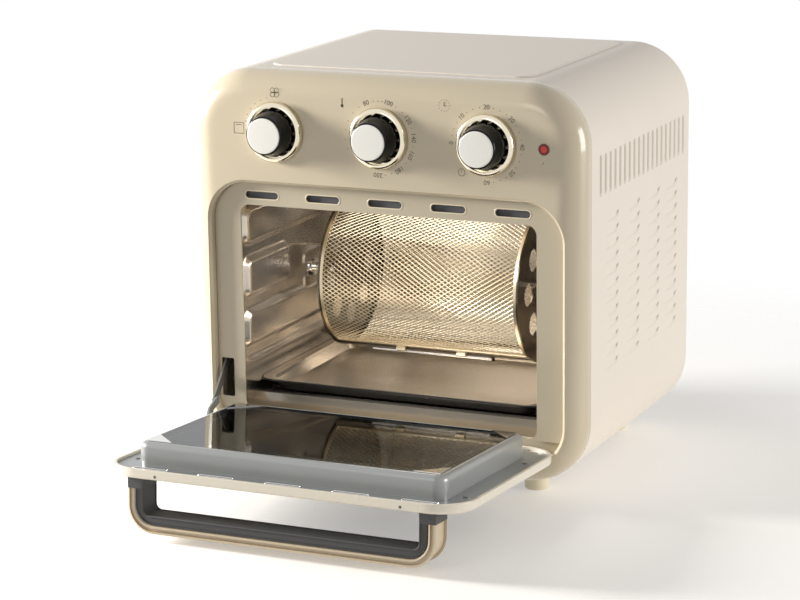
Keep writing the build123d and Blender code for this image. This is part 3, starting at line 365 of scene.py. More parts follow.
class Shell:
    """A mesh put together from grids of points worked out as whole arrays."""

    def __init__(self) -> None:
        """Start with no points."""
        self.points: list[np.ndarray] = []
        self.faces: list[list[int]] = []
        self.marks: list[np.ndarray] = []
        self.count = 0

    def grid(self, points: np.ndarray, wrap_rows: bool = False, wrap_columns: bool = True,
             cap_first: bool = False, cap_last: bool = False, marks: np.ndarray | None = None) -> "Shell":
        """Add a sheet of four-sided faces through a grid of points.

        Face (r, c) joins the points (r, c), (r, c + 1), (r + 1, c + 1) and (r + 1, c).

        Args:
            points: Row-frame points, rows by columns by three.
            wrap_rows: Join the last row to the first.
            wrap_columns: Join the last column to the first.
            cap_first: Close the first row with one face.
            cap_last: Close the last row with one face.
            marks: Amount of painted opening shade at each point.

        Returns:
            The shell, so that calls can follow each other.
        """
        rows, columns = points.shape[:2]
        row, column = np.meshgrid(np.arange(rows if wrap_rows else rows - 1),
                                  np.arange(columns if wrap_columns else columns - 1), indexing="ij")
        below, beside = (row + 1) % rows, (column + 1) % columns
        quads = np.stack([row * columns + column, row * columns + beside, below * columns + beside,
                          below * columns + column], axis=-1).reshape(-1, 4)
        self.faces += (quads + self.count).tolist()
        if cap_first:
            self.faces.append((self.count + np.arange(columns)[::-1]).tolist())
        if cap_last:
            self.faces.append((self.count + (rows - 1) * columns + np.arange(columns)).tolist())
        self.points.append(points.reshape(-1, 3))
        self.marks.append(np.zeros(rows * columns) if marks is None else marks.reshape(-1))
        self.count += rows * columns
        return self

    def make(self, name: str, body: str, finish: Palette, replaces: Iterable[str] = (), sharp: float = 38.0,
             merge: float = 1e-6) -> bpy.types.Object:
        """Turn the shell into a piece that rides on a body.

        Args:
            name: Name of the piece.
            body: Body that the piece moves with.
            finish: Finish of the piece.
            replaces: Solid nodes that the piece stands for.
            sharp: Angle in degrees above which an edge stays sharp.
            merge: Points closer than this, in metres, become one.

        Returns:
            The piece.
        """
        mesh = bpy.data.meshes.new(name)
        mesh.from_pydata(np.concatenate(self.points).tolist(), [], self.faces)
        # Painted shade: the marks become a point attribute that darkens the colour in the openings.
        marks = mesh.attributes.new("opening_shade", "FLOAT", "POINT")
        marks.data.foreach_set("value", np.concatenate(self.marks).astype(np.float32))
        work = bmesh.new()
        work.from_mesh(mesh)
        bmesh.ops.remove_doubles(work, verts=work.verts, dist=merge)
        bmesh.ops.dissolve_degenerate(work, edges=work.edges, dist=1e-7)
        bmesh.ops.recalc_face_normals(work, faces=work.faces)
        work.to_mesh(mesh)
        work.free()
        piece = bpy.data.objects.new(name, mesh)
        bpy.context.scene.collection.objects.link(piece)
        return dress(piece, body, finish, replaces, sharp)


def dress(piece: bpy.types.Object, body: str, finish: Palette, replaces: Iterable[str] = (),
          sharp: float = 38.0) -> bpy.types.Object:
    """Give a piece its finish and shading and let it ride on a body.

    Args:
        piece: The piece, already in place.
        body: Body that the piece moves with.
        finish: Finish of the piece.
        replaces: Solid nodes that the piece stands for.
        sharp: Angle in degrees above which an edge stays sharp.

    Returns:
        The piece.
    """
    mesh = piece.data
    mesh.polygons.foreach_set("use_smooth", np.ones(len(mesh.polygons), bool))
    mesh.set_sharp_from_angle(angle=math.radians(sharp))
    weighted = piece.modifiers.new("even_shading", "WEIGHTED_NORMAL")
    weighted.keep_sharp = True
    mesh.materials.clear()
    mesh.materials.append(finish.value.material())
    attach(piece, body)
    replaces = list(replaces)
    if replaces:
        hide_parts(*replaces)
    LOG.info("piece %s: %d faces on %s", piece.name, len(mesh.polygons), body)
    return piece


@dataclass
class Case:
    """Wrap, front moulding, back and feet of the cabinet."""

    width: float = 340.0
    height: float = 321.5
    depth: float = 265.0
    corner: float = 50.0
    roll: float = 20.0
    seam: float = 22.6
    pocket_width: float = 307.2
    pocket_low: float = 17.0
    pocket_high: float = 229.6
    pocket_corner: float = 33.0
    pocket_ease: float = 2.4
    slot_first: float = 43.9
    slot_pitch: float = 11.43
    slot_height: float = 246.2
    louvre_pitch: float = 10.93
    louvre_length: float = 31.0
    louvre_rise: float = 5.5
    louvre_bend: float = 15.84
    louvre_depths: tuple[float, ...] = (71.5, 123.0, 174.1, 219.5)
    vent_pitch: float = 54.9
    vent_height: float = 218.3

    def front_depth(self, x: np.ndarray, height: np.ndarray) -> np.ndarray:
        """Depth of the rolled front at a place on it.

        With s the distance inside the outline, depth is the roll radius less the root of
        its square less the square of the roll radius less s, and nothing past the roll.

        Args:
            x: Distances to the right.
            height: Heights above the underside.

        Returns:
            Depths with the shape of the inputs.
        """
        inside = inside_box(x, height, (0.0, self.height / 2), (self.width, self.height), self.corner)
        left = self.roll - np.clip(inside, 0.0, self.roll)
        return self.roll - np.sqrt(self.roll**2 - left**2)

    def build_front(self) -> None:
        """Make the front moulding: the rolled face, the eased pocket edge and the pocket wall.

        Each ray goes from a point of the outline to the same point of the pocket, and its
        rows stand at set distances along it, so that rows past its end fall together.
        """
        pocket_middle = (self.pocket_low + self.pocket_high) / 2
        pocket_height = self.pocket_high - self.pocket_low
        middle = self.height / 2
        outline = rounded_loops(self.width, self.height, self.corner, 20, 12)[0] + [0, middle]
        ease = 2 * self.pocket_ease
        inner = rounded_loops(self.pocket_width + ease, pocket_height + ease,
                              self.pocket_corner + self.pocket_ease, 20, 12)[0] + [0, pocket_middle]
        reach = np.linalg.norm(inner - outline, axis=1)
        sweep = np.linspace(0, math.pi / 2, 15)
        steps = np.concatenate([self.roll * (1 - np.cos(sweep)), [24, 30, 45, 65, 90, 120]])
        share = np.clip(steps[:, None] / reach[None, :], 0, 1)[..., None]
        face = outline[None] * (1 - share) + inner[None] * share
        depth = self.front_depth(face[..., 0], face[..., 1])
        front = place(face[..., 0], depth, face[..., 1])
        seam = place(outline[:, 0], np.full(len(outline), self.seam), outline[:, 1])[None]
        groove = place(outline[:, 0] * 0.996, np.full(len(outline), self.seam), outline[:, 1])[None]
        wall = rounded_loops(self.pocket_width, pocket_height, self.pocket_corner, 20, 12)[0] + [0, pocket_middle]
        edge = self.front_depth(inner[:, 0], inner[:, 1])
        rows = [place(wall[:, 0], edge + self.pocket_ease, wall[:, 1])[None],
                place(wall[:, 0], np.full(len(wall), 15.0), wall[:, 1])[None],
                place(wall[:, 0], np.full(len(wall), self.seam), wall[:, 1])[None]]
        points = np.concatenate([seam, front, *rows, groove])
        Shell().grid(points, wrap_rows=True).make("front_moulding", "cabinet", Palette.PANEL, ["front_fascia"])

    def press(self, depth: np.ndarray, height: np.ndarray) -> tuple[np.ndarray, np.ndarray]:
        """How far the side sheet is pressed in, and how dark its painted opening shade is, at a place on it.

        A slot is a groove with soft sides. A louvre is a fin: its lower edge is level and then curves up at the
        rear on a circle, its upper edge is the chord, and its rear end is open. The slots and the open rear ends
        are darkened in the colour as painted shade, for the shade inside the openings.

        Args:
            depth: Depths behind the panel.
            height: Heights above the underside.

        Returns:
            The pressed distances, and the painted opening shade from 0 to 1.
        """
        number = np.clip(np.round((depth - self.slot_first) / self.slot_pitch), 0, 18)
        along = depth - (self.slot_first + number * self.slot_pitch)
        slot = inside_box(along, height, (0.0, self.slot_height), (3.6, 32.6), 1.7)
        pressed = 1.6 * smooth_step(slot + 0.5, 1.5)
        # Painted shade in the slot, for the shade inside the opening.
        opening_shade = smooth_step(slot, 1.2)
        columns = np.array(self.louvre_depths)
        nearest = np.abs(depth[..., None] - columns).argmin(axis=-1)
        across = depth - columns[nearest]
        row = np.clip(np.floor((height - 84.5) / self.louvre_pitch), 0, 11)
        up = height - (86.0 + row * self.louvre_pitch)
        past = np.clip(across - 3.5, 0.0, 12.5)
        lower = self.louvre_bend - np.sqrt(self.louvre_bend**2 - past**2)
        chord = self.louvre_rise * (across + 15.5) / self.louvre_length
        along = smooth_step(across + 16.5, 3.0) * smooth_step(16.5 - across, 2.0)
        fin = smooth_step(up - lower + 0.8, 1.0) * smooth_step(chord + 0.8 - up, 1.6) * along
        pressed = pressed + 0.7 * fin
        # Painted shade at the open rear end of each louvre.
        opening_shade = opening_shade + fin * 0.75 * smooth_step(across - 10.0, 3.5)
        return pressed, np.clip(opening_shade, 0, 1)

    def build_wrap(self) -> None:
        """Make the wrap: a sheet that runs round the outline and is pressed on both sides.

        The sheet is a grid of places along the outline by depths, moved towards the middle
        by the pressed distance, and its back face is the same grid one sheet inside.
        """
        fine = np.arange(80.0, 266.0, self.louvre_pitch / 12)
        sweep = np.linspace(0, math.pi / 2, 15)
        arc_x = self.width / 2 - self.corner + self.corner * np.sin(sweep)
        arc_h = self.corner * (1 - np.cos(sweep))
        right_x = np.concatenate([[118.0], arc_x, np.full(len(fine) + 1, self.width / 2), arc_x[::-1]])
        right_h = np.concatenate([[0.0], arc_h, [66.0], fine, (self.height - arc_h)[::-1]])
        x = np.concatenate([right_x, -right_x[::-1]])
        height = np.concatenate([right_h, right_h[::-1]])
        step = self.slot_pitch / 9
        middle = np.arange(self.slot_first - 5 * step, 256.0, step)
        depth = np.concatenate([[self.seam + 0.3, 30.0], middle, [260.0, self.depth]])
        grid_x, grid_depth = np.meshgrid(x, depth, indexing="ij")
        grid_height = np.broadcast_to(height[:, None], grid_x.shape)
        side = np.abs(grid_x) > self.width / 2 - 0.01
        pressed, opening_shade = self.press(grid_depth, grid_height)
        pressed = np.where(side, pressed, 0.0)
        opening_shade = np.where(side, opening_shade, 0.0)
        outer = place(grid_x - np.sign(grid_x) * pressed, grid_depth, grid_height)
        inner_x = x * (self.width - 3.4) / self.width
        inner_height = self.height / 2 + (height - self.height / 2) * (self.height - 2.0) / self.height
        ends = depth[[-1, 0]]
        back = place(inner_x[:, None], ends[None, :], inner_height[:, None])
        points = np.concatenate([outer, back], axis=1)
        # The marks carry the painted opening shade of the sides.
        marks = np.concatenate([opening_shade, np.zeros((len(x), 2))], axis=1)
        shell = Shell().grid(points, wrap_columns=True, cap_first=True, cap_last=True, marks=marks)
        low, high, rim = 36.0, 253.0, 4.0
        rows = np.array([[229.6, high - low + rim - 0.4, 13.8], [229.2, high - low + rim - 0.8, 13.6],
                         [227.8, high - low + rim - 2.2, 12.9], [227.2, high - low + rim - 2.8, 12.6],
                         [222.0, high - low - 2.0, 9.8]])
        loops = rounded_loops(rows[:, 0], rows[:, 1], rows[:, 2], 8, 4)
        rise = np.array([-0.5, 0.1, 0.9, 1.0, 1.0])[:, None]
        flat = place(loops[..., 0], loops[..., 1] + (low + high) / 2, self.height + rise)
        shell.grid(flat, cap_first=True, cap_last=True)
        shell.make("wrap_sheet", "cabinet", Palette.CASE, ["cabinet_wrap"])

    def build_vent_rims(self) -> None:
        """Make the rims of the five vents, a half round swept round each, and a dark plate behind them as painted
        shade.
        """
        sweep = np.linspace(0, math.pi, 7)
        out, rise = 0.55 * (1 - np.cos(sweep)), 0.32 * np.sin(sweep)
        shell = Shell()
        for number in range(-2, 3):
            rows = [(29.4 + 2 * o, 5.7 + 2 * o, 2.84 + o, self.vent_height, 8.84 - r) for o, r in zip(out, rise)]
            loops = stacked(rows, 8, 4)
            loops[..., 0] += number * self.vent_pitch * MM
            shell.grid(loops, wrap_rows=True)
        shell.make("vent_rims", "cabinet", Palette.RECESS_EDGE)
        # Painted shade: a dark plate behind the vents stands in for the shade inside them.
        shade_plate = stacked([(252.0, 9.0, 4.0, 219.0, 13.6), (253.0, 10.0, 4.5, 219.0, 13.4),
                           (253.0, 10.0, 4.5, 219.0, 12.8), (252.0, 9.0, 4.0, 219.0, 12.6)], 8, 4)
        Shell().grid(shade_plate, cap_first=True, cap_last=True).make("vent_shade_plate", "cabinet", Palette.MOTOR)

    def build_feet(self) -> None:
        """Make the four feet: a turned profile round an upright axis."""
        radii = np.array([8.2, 9.6, 10.0, 10.4, 10.5])
        heights = np.array([-15.0, -14.8, -14.0, -4.0, 0.0])
        angle = np.arange(40) * 2 * math.pi / 40
        shell = Shell()
        for x in (-115.0, 115.0):
            for depth in (47.0, 235.0):
                ring = place(x + radii[:, None] * np.cos(angle), depth + radii[:, None] * np.sin(angle),
                             heights[:, None])
                shell.grid(ring, cap_first=True, cap_last=True)
        shell.make("round_feet", "cabinet", Palette.RUBBER, ["feet"])

    def build(self) -> None:
        """Make all pieces of the case."""
        self.build_front()
        self.build_wrap()
        self.build_vent_rims()
        self.build_feet()


@dataclass
class Cavity:
    """The pressed side walls of the cooking space with their ledges, rivets and guide stud."""

    half_width: float = 137.0
    front: float = 10.6
    back: float = 205.0
    low: float = 22.0
    high: float = 212.0
    sheet: float = 1.0
    rivets: tuple[tuple[float, float], ...] = ((15.5, 85.3), (15.5, 172.7))
    studs: tuple[tuple[float, float], ...] = ((34.3, 180.1), (34.2, 83.4))
    pads: tuple[tuple[tuple[float, float], tuple[float, float], float, float], ...] = (
        ((107.0, 187.0), (170.0, 36.0), 12.0, 4.6), ((65.5, 143.0), (84.0, 37.0), 9.0, 5.0),
        ((107.0, 100.0), (170.0, 34.0), 10.0, 5.0), ((107.0, 71.5), (166.0, 9.0), 4.0, 3.0))
    stud_depth: float = 26.4
    stud_height: float = 89.2

    def raised(self, depth: np.ndarray, height: np.ndarray) -> np.ndarray:
        """Height of the pressed pads above the wall at a place on it.

        Each pad is a rounded rectangle whose sides ramp smoothly over a few millimetres, and
        a flange stands along the front edge.

        Args:
            depth: Depths behind the panel.
            height: Heights above the underside.

        Returns:
            Heights of the pads towards the middle of the oven.
        """
        total = np.zeros_like(depth)
        for centre, size, radius, rise in self.pads:
            inside = inside_box(depth, height, centre, size, radius)
            total = np.maximum(total, rise * smooth_step(inside, 6.0))
        flange = 0.7 * smooth_step(21.6 - depth, 0.8) * smooth_step(height - 38.0, 1.0)
        return np.maximum(total, flange)

    def rivet(self, shell: Shell, side: int, place_at: tuple[float, float], base: float, size: float) -> None:
        """Add a domed rivet head: rings of a shrinking radius that rise to the middle.

        Args:
            shell: Shell that takes the head.
            side: -1 for the left wall and 1 for the right wall.
            place_at: Depth and height of its middle.
            base: Distance of its foot from the wall.
            size: Radius of its foot.
        """
        radii = size * np.array([1.0, 1.0, 0.9, 0.66, 0.3])
        rise = np.array([-0.4, 0.15, 0.5, 0.78, 0.9])
        angle = np.arange(24) * math.pi / 12
        ring = place(side * (self.half_width - base - rise)[:, None] + 0 * angle,
                     place_at[0] + radii[:, None] * np.cos(angle), place_at[1] + radii[:, None] * np.sin(angle))
        shell.grid(ring, cap_first=True, cap_last=True)

    def ledge(self, shell: Shell, side: int) -> None:
        """Add the ledge that the tray slides on: a strip with a rounded edge.

        Args:
            shell: Shell that takes the ledge.
            side: -1 for the left wall and 1 for the right wall.
        """
        out = np.array([-0.2, 10.0, 10.5, 10.5, 10.0, -0.2])
        up = np.array([56.6, 56.6, 56.3, 55.9, 55.6, 55.6])
        ends = np.array([28.0, 29.0, 195.0, 196.0])[:, None]
        points = place(side * (self.half_width - out)[None, :] + 0 * ends, ends + 0 * out[None, :], up[None, :])
        shell.grid(points, cap_first=True, cap_last=True)

    def build(self) -> None:
        """Make the left and the right wall as pressed sheets.

        Rows are heights and columns are shares of the way back, which start further back
        over the notch above the set-back band of the face frame.
        """
        height = np.concatenate([np.linspace(self.low, 37.6, 9), np.linspace(37.6, self.high, 132)])
        start = np.where(np.arange(len(height)) < 9, 15.0, self.front)
        share = np.concatenate([np.linspace(0, 0.07, 24), np.linspace(0.078, 1, 118)])
        grid_depth = start[:, None] + share[None, :] * (self.back - start[:, None])
        grid_height = np.broadcast_to(height[:, None], grid_depth.shape)
        rise = self.raised(grid_depth, grid_height)
        for side, name, node in ((-1, "wall_left", "cavity_left"), (1, "wall_right", "cavity_right")):
            face = place(side * (self.half_width - rise), grid_depth, grid_height)
            ends = grid_depth[:, [-1, 0]]
            back = place(side * (self.half_width + self.sheet) + 0 * ends, ends, grid_height[:, [-1, 0]])
            shell = Shell().grid(np.concatenate([face, back], axis=1), cap_first=True, cap_last=True)
            self.ledge(shell, side)
            for spot in self.rivets:
                self.rivet(shell, side, spot, 0.6, 1.9)
            for spot in self.studs:
                self.rivet(shell, side, spot, 0.0, 2.1)
            shell.make(name, "cabinet", Palette.CAVITY, [node])
        pin = Shell()
        angle = np.arange(20) * math.pi / 10
        radii = np.array([1.5, 1.5, 1.3, 0.9])
        out = np.array([137.9, 149.6, 150.0, 150.2])
        pin.grid(place(-out[:, None] + 0 * angle, self.stud_depth + radii[:, None] * np.cos(angle),
                       self.stud_height + radii[:, None] * np.sin(angle)), cap_first=True, cap_last=True)
        pin.make("guide_stud", "cabinet", Palette.CHROME)


@dataclass
class Knob:
    """One control knob: bright skirt, fluted grip and pearl cap."""

    name: str
    x: float
    height: float = 273.1
    flutes: int = 14

    def build(self) -> None:
        """Make the three turned pieces of the knob."""
        body = f"{self.name}_knob"
        skirt_radii = [7.5, 24.1, 24.5, 24.5, 24.2, 23.4, 22.4, 21.4, 21.0, 20.9, 7.5]
        skirt_depths = [-0.6, -0.6, -1.0, -4.2, -5.2, -6.2, -6.8, -7.0, -6.9, -2.4, -2.4]
        shell = Shell().grid(turned(self.x, self.height, skirt_radii, skirt_depths, 96), wrap_rows=True)
        shell.make(f"{self.name}_skirt", body, Palette.SKIRT, [f"{self.name}_knob_skirt"])
        self.build_grip(body)
        cap_radii = [4.0, 14.0, 14.3, 14.3, 14.0, 13.4, 6.0, 1.5]
        cap_depths = [-21.9, -21.9, -22.0, -22.3, -22.55, -22.65, -22.7, -22.7]
        cap = turned(self.x, self.height, cap_radii, cap_depths, 64)
        shell = Shell().grid(cap, cap_first=True, cap_last=True)
        shell.make(f"{self.name}_cap", body, Palette.CAP, [f"{self.name}_knob_cap"])

    def build_grip(self, body: str) -> None:
        """Make the grip: a cone with a ring of scallops at its foot.

        The radius is the lesser of that of the cone at the row and of a wavy cylinder, whose
        dips are a raised cosine of the angle, so that the scallops run out where the cone
        gets narrower.

        Args:
            body: Body that the grip turns with.
        """
        radii = np.array([3.1, 19.9, 20.25, 19.9, 19.2, 18.5, 17.8, 17.1, 16.4, 15.9, 15.6, 15.2, 14.6, 3.1])
        depths = np.array([-2.0, -2.0, -2.4, -3.6, -6.4, -9.2, -12.0, -14.9, -17.8, -20.0, -21.2, -21.7, -22.0,
                           -22.0])
        steps = 196
        angle = np.arange(steps) * 2 * math.pi / steps
        wave = ((1 + np.cos(angle * self.flutes)) / 2) ** 1.5
        limit = 21.4 - 3.0 * wave
        section = np.minimum(radii[:, None], limit[None, :])
        shell = Shell().grid(turned(self.x, self.height, section, depths, steps), wrap_rows=True)
        shell.make(f"{self.name}_grip", body, Palette.BLACK_GLOSS, [f"{self.name}_knob_grip"])


@dataclass
class Door:
    """Pieces of the drop-down door, drawn closed and turned open."""

    width: float = 301.0
    low: float = 19.5
    high: float = 228.0
    corner: float = 30.0
    window_middle: float = 122.5
    frame_width: float = 257.6
    frame_low: float = 43.5
    frame_high: float = 208.6
    glass_middle: float = 126.05
    slot_pitch: float = 56.3
    slot_height: float = 215.5
    handle_low: float = 200.3
    handle_high: float = 223.3

    def build_rim(self) -> None:
        """Make the outer moulding as one closed ring of loops."""
        middle, height = (self.low + self.high) / 2, self.high - self.low
        front = rounded_edge(3.1, 0.1, 3.0, 6)[::-1]
        outer = [(self.width - 2 * i, height - 2 * i, self.corner - i, middle, d) for i, d in front]
        edge = [(0.0, 7.3), (0.2, 7.8), (0.7, 8.0), (2.5, 8.0), (2.9, 7.8), (3.0, 7.4), (3.0, 5.2)]
        outer += [(self.width - 2 * i, height - 2 * i, self.corner - i, middle, d) for i, d in edge]
        window = self.window_middle
        outer += [(246.0, 145.0, 18.0, window, 5.2), (246.0, 145.0, 18.0, window, 1.8),
                  (236.0, 135.0, 15.0, window, 1.8), (236.0, 135.0, 15.0, window, 0.9),
                  (236.6, 135.6, 15.3, window, 0.35), (237.6, 136.6, 15.8, window, 0.1)]
        points = opened(stacked(outer, 16, 4))
        Shell().grid(points, wrap_rows=True).make("door_moulding", "door", Palette.RIM, ["door_frame"])

    def build_raised(self) -> None:
        """Make the raised inner frame with its rounded edge and the step for its glass."""
        middle, height = (self.frame_low + self.frame_high) / 2, self.frame_high - self.frame_low
        rows = [(self.frame_width, height, 10.0, middle, d) for d in (6.0, 13.0, 18.0)]
        rows += [(self.frame_width - 2 * i, height - 2 * i, 10.0 - i, middle, d)
                 for i, d in rounded_edge(19.5, 24.5, 5.0, 9)]
        rows += [(246.6, 154.1, 3.2, self.glass_middle, 24.5), (246.0, 153.5, 3.0, self.glass_middle, 24.1),
                 (246.0, 153.5, 3.0, self.glass_middle, 20.9), (224.0, 131.5, 8.0, self.glass_middle, 20.9),
                 (224.0, 131.5, 8.0, self.glass_middle, 6.0)]
        points = opened(stacked(rows, 14, 4))
        Shell().grid(points, wrap_rows=True).make("raised_frame", "door", Palette.RAISED, ["door_inner_frame"])

    def build_details(self) -> None:
        """Make the rolled rims of the liner's slots and the screws in its corners and top edge."""
        sweep = np.linspace(0, math.pi, 7)
        out, rise = 0.35 * (1 - np.cos(sweep)), 0.35 * np.sin(sweep)
        shell = Shell()
        for number in range(-2, 3):
            rows = [(29.2 + 2 * o, 3.0 + 2 * o, 1.49 + o, self.slot_height, 5.9 + r) for o, r in zip(out, rise)]
            loops = stacked(rows, 8, 4)
            loops[..., 0] += number * self.slot_pitch * MM
            shell.grid(opened(loops), wrap_rows=True)
        shell.make("liner_slot_rims", "door", Palette.CHROME)
        heads = Shell()
        angle = np.arange(20) * math.pi / 10
        radii = np.array([1.25, 1.25, 1.1, 0.7, 0.25])[:, None]
        dome = np.array([-0.6, 0.1, 0.35, 0.5, 0.55])[:, None]
        for x in (-102.0, 102.0):
            heads.grid(opened(place(x + radii * np.cos(angle), 3.4 + radii * np.sin(angle), 228.0 + dome - 0.2)),
                       cap_first=True, cap_last=True)
        for x in (-138.0, 138.0):
            for height in (70.0, 190.0):
                heads.grid(opened(place(x + 1.5 * radii * np.cos(angle), 6.0 + dome * 1.2,
                                        height + 1.5 * radii * np.sin(angle))), cap_first=True, cap_last=True)
        heads.make("door_screws", "door", Palette.MOTOR)

    def bow(self, radius_out: float, radius_in: float, outer: tuple[float, float, float],
            inner: tuple[float, float, float], soft: float) -> np.ndarray:
        """Bar that runs out along one leg, across the front and back along the other.

        The outer and the inner line have the same number of points, and the section goes
        round the four corners between them with small rounds.

        Args:
            radius_out: Bend radius of the outer line.
            radius_in: Bend radius of the inner line.
            outer: Half width, front depth and end depth of the outer line.
            inner: Half width, front depth and end depth of the inner line.
            soft: Radius of the rounded edges of the section.

        Returns:
            Row-frame points on the open door, places along the bow by points of the section.
        """
        sweep = np.linspace(0, math.pi / 2, 12)
        lines = []
        for radius, (half, front, end) in ((radius_out, outer), (radius_in, inner)):
            bend_x = half - radius + radius * np.cos(sweep)
            bend_d = front + radius - radius * np.sin(sweep)
            x = np.concatenate([[half], bend_x, -bend_x[::-1], [-half]])
            depth = np.concatenate([[end], bend_d, bend_d[::-1], [end]])
            lines.append(np.stack([x, depth], axis=-1))
        across = lines[1] - lines[0]
        thick = np.linalg.norm(across, axis=1, keepdims=True)
        unit = across / thick
        corner = np.linspace(0, math.pi / 2, 5)
        near = soft * (1 - np.sin(corner))
        up = soft * (1 - np.cos(corner))
        low, high = self.handle_low, self.handle_high
        inset = np.concatenate([near[None] + thick * 0, thick - near[::-1][None], thick - near[None],
                                near[::-1][None] + thick * 0], axis=1)
        height = np.concatenate([low + up, low + up[::-1], high - up, high - up[::-1]])
        flat = lines[0][:, None, :] + unit[:, None, :] * inset[..., None]
        return opened(place(flat[..., 0], flat[..., 1], height[None, :]))

    def build_handle(self) -> None:
        """Make the dark core with its sockets and the pale cover round its outside."""
        core = self.bow(15.0, 5.0, (121.75, -36.1, 0.1), (115.05, -28.7, 0.1), 1.0)
        shell = Shell().grid(core, cap_first=True, cap_last=True)
        for side in (-1, 1):
            rows = [(13.8, 23.0, 1.5, 211.8, -8.5), (14.2, 23.0, 1.5, 211.8, -0.5),
                    (14.2, 23.0, 1.5, 211.8, 0.08)]
            loops = stacked(rows, 4, 1)
            loops[..., 0] += side * 121.75 * MM
            shell.grid(opened(loops), cap_first=True, cap_last=True)
        shell.make("handle_core", "door", Palette.BLACK, ["handle_grip"])
        cover = self.bow(22.0, 15.0, (128.75, -43.5, -8.5), (121.85, -36.2, -8.5), 2.2)
        shell = Shell().grid(cover, cap_first=True, cap_last=True)
        shell.make("handle_shell", "door", Palette.COVER, ["handle_cover"])

    def build(self) -> None:
        """Make all pieces of the door."""
        self.build_rim()
        self.build_raised()
        self.build_details()
        self.build_handle()


@dataclass
class Drum:
    """Woven mesh of the turning drum, its rims and its lid."""

    depth: float = 130.0
    height: float = 133.4
    left: float = -87.7
    right: float = 89.4
    radius: float = 63.5
    pitch: float = 6.0
    slope: float = 1.55
    wire: float = 0.25
    shell_low: float = 75.0
    bar_low: float = 283.0
    bar_high: float = 294.5
    lid_low: float = -61.5
    lid_high: float = 73.0

    def around(self, x: np.ndarray, angle: np.ndarray, radius: np.ndarray) -> np.ndarray:
        """Points on the drum, with angles in degrees up from its front.

        Args:
            x: Distances to the right.
            angle: Angles in degrees.
            radius: Radii.

        Returns:
            Row-frame points.
        """
        turn = np.radians(angle)
        return place(x, self.depth - radius * np.cos(turn), self.height + radius * np.sin(turn))

    def woven(self, shell: Shell, angles: tuple[float, float], ends: tuple[float, float]) -> None:
        """Add two sets of slanting wires that cross in a sheet of the drum.

        On the unrolled sheet each wire is a straight line, with x plus or minus the slope
        times s constant. It is cut off at the four edges and rolled back up. Its section is a
        square whose corners stand above, below and beside the line.

        Args:
            shell: Shell that takes the wires.
            angles: First and last angle of the sheet in degrees.
            ends: Left and right end of the sheet.
        """
        low, high = (math.radians(a) * self.radius * self.slope for a in angles)
        left, right = ends
        for slant in (1.0, -1.0):
            constant = np.arange(left - (high if slant > 0 else -low), right - (low if slant > 0 else -high),
                                 self.pitch)
            start = np.maximum(left, constant + (low if slant > 0 else -high))
            stop = np.minimum(right, constant + (high if slant > 0 else -low))
            real = stop - start > 2.0
            constant, start, stop = constant[real], start[real], stop[real]
            share = np.linspace(0, 1, 17)[None, :]
            x = start[:, None] * (1 - share) + stop[:, None] * share
            along = (x - constant[:, None]) * slant / self.slope
            angle = np.degrees(along / self.radius)
            lift = 0.28 * slant
            half = self.wire * 0.75
            corners = [(0.0, 0.0, half), (half, -half * slant, 0.0), (0.0, 0.0, -half),
                       (-half, half * slant, 0.0)]
            rings = [self.around(x + dx, angle + math.degrees(ds / self.radius), self.radius - 0.7 + lift + dr)
                     for dx, ds, dr in corners]
            tubes = np.stack(rings, axis=2)
            for tube in tubes:
                shell.grid(tube, cap_first=True, cap_last=True)

    def strip(self, shell: Shell, angles: tuple[float, float], ends: tuple[float, float],
              radii: tuple[float, float]) -> None:
        """Add a curved plate between two angles and two ends.

        Args:
            shell: Shell that takes the plate.
            angles: First and last angle in degrees.
            ends: Left and right end.
            radii: Inner and outer radius.
        """
        steps = max(int(abs(angles[1] - angles[0]) / 5) + 2, 3)
        angle = np.linspace(angles[0], angles[1], steps)[:, None]
        x = np.array([[ends[0], ends[1], ends[1], ends[0]]])
        radius = np.array([[radii[0], radii[0], radii[1], radii[1]]])
        shell.grid(self.around(x, angle, radius), cap_first=True, cap_last=True)

    def build(self) -> None:
        """Make the shell with its end bands and hinge bar, and the lid."""
        body = Shell()
        self.woven(body, (self.shell_low, self.bar_low + 1.0), (self.left + 2, self.right - 2))
        inner, outer = self.radius - 1.1, self.radius - 0.1
        self.strip(body, (self.shell_low, self.shell_low + 2.0), (self.left, self.right), (inner, outer))
        bar = Shell()
        self.strip(bar, (self.bar_low, self.bar_high), (self.left, self.right), (inner, outer + 0.7))
        for x0, x1 in ((self.left, self.left + 2.4), (self.right - 2.4, self.right)):
            self.strip(bar, (self.shell_low, self.bar_high), (x0, x1), (inner, outer))
        for x in (-52.0, 32.0):
            self.strip(bar, (285.0, 295.0), (x, x + 20.0), (outer, self.radius + 3.6))
        bar.make("drum_hinge_bar", "drum", Palette.DISC)
        body.make("drum_mesh", "drum", Palette.MESH, ["drum_shell"], sharp=50)
        lid = Shell()
        self.woven(lid, (-60.0, 72.0), (self.left + 2.4, self.right - 2.4))
        for low, high in ((self.lid_low, self.lid_low + 3.0), (self.lid_high - 3.0, self.lid_high)):
            self.strip(lid, (low, high), (self.left + 0.5, self.right - 0.5), (inner, outer + 0.1))
        for x0, x1 in ((self.left + 0.5, self.left + 2.9), (self.right - 2.9, self.right - 0.5)):
            self.strip(lid, (self.lid_low, self.lid_high), (x0, x1), (inner, outer + 0.1))
        for x in (-31.5, 23.5):
            self.strip(lid, (-63.0, -60.0), (x, x + 8.0), (self.radius - 0.5, self.radius + 3.6))
        lid.make("lid_mesh", "drum_lid_body", Palette.MESH, ["drum_lid"], sharp=50)


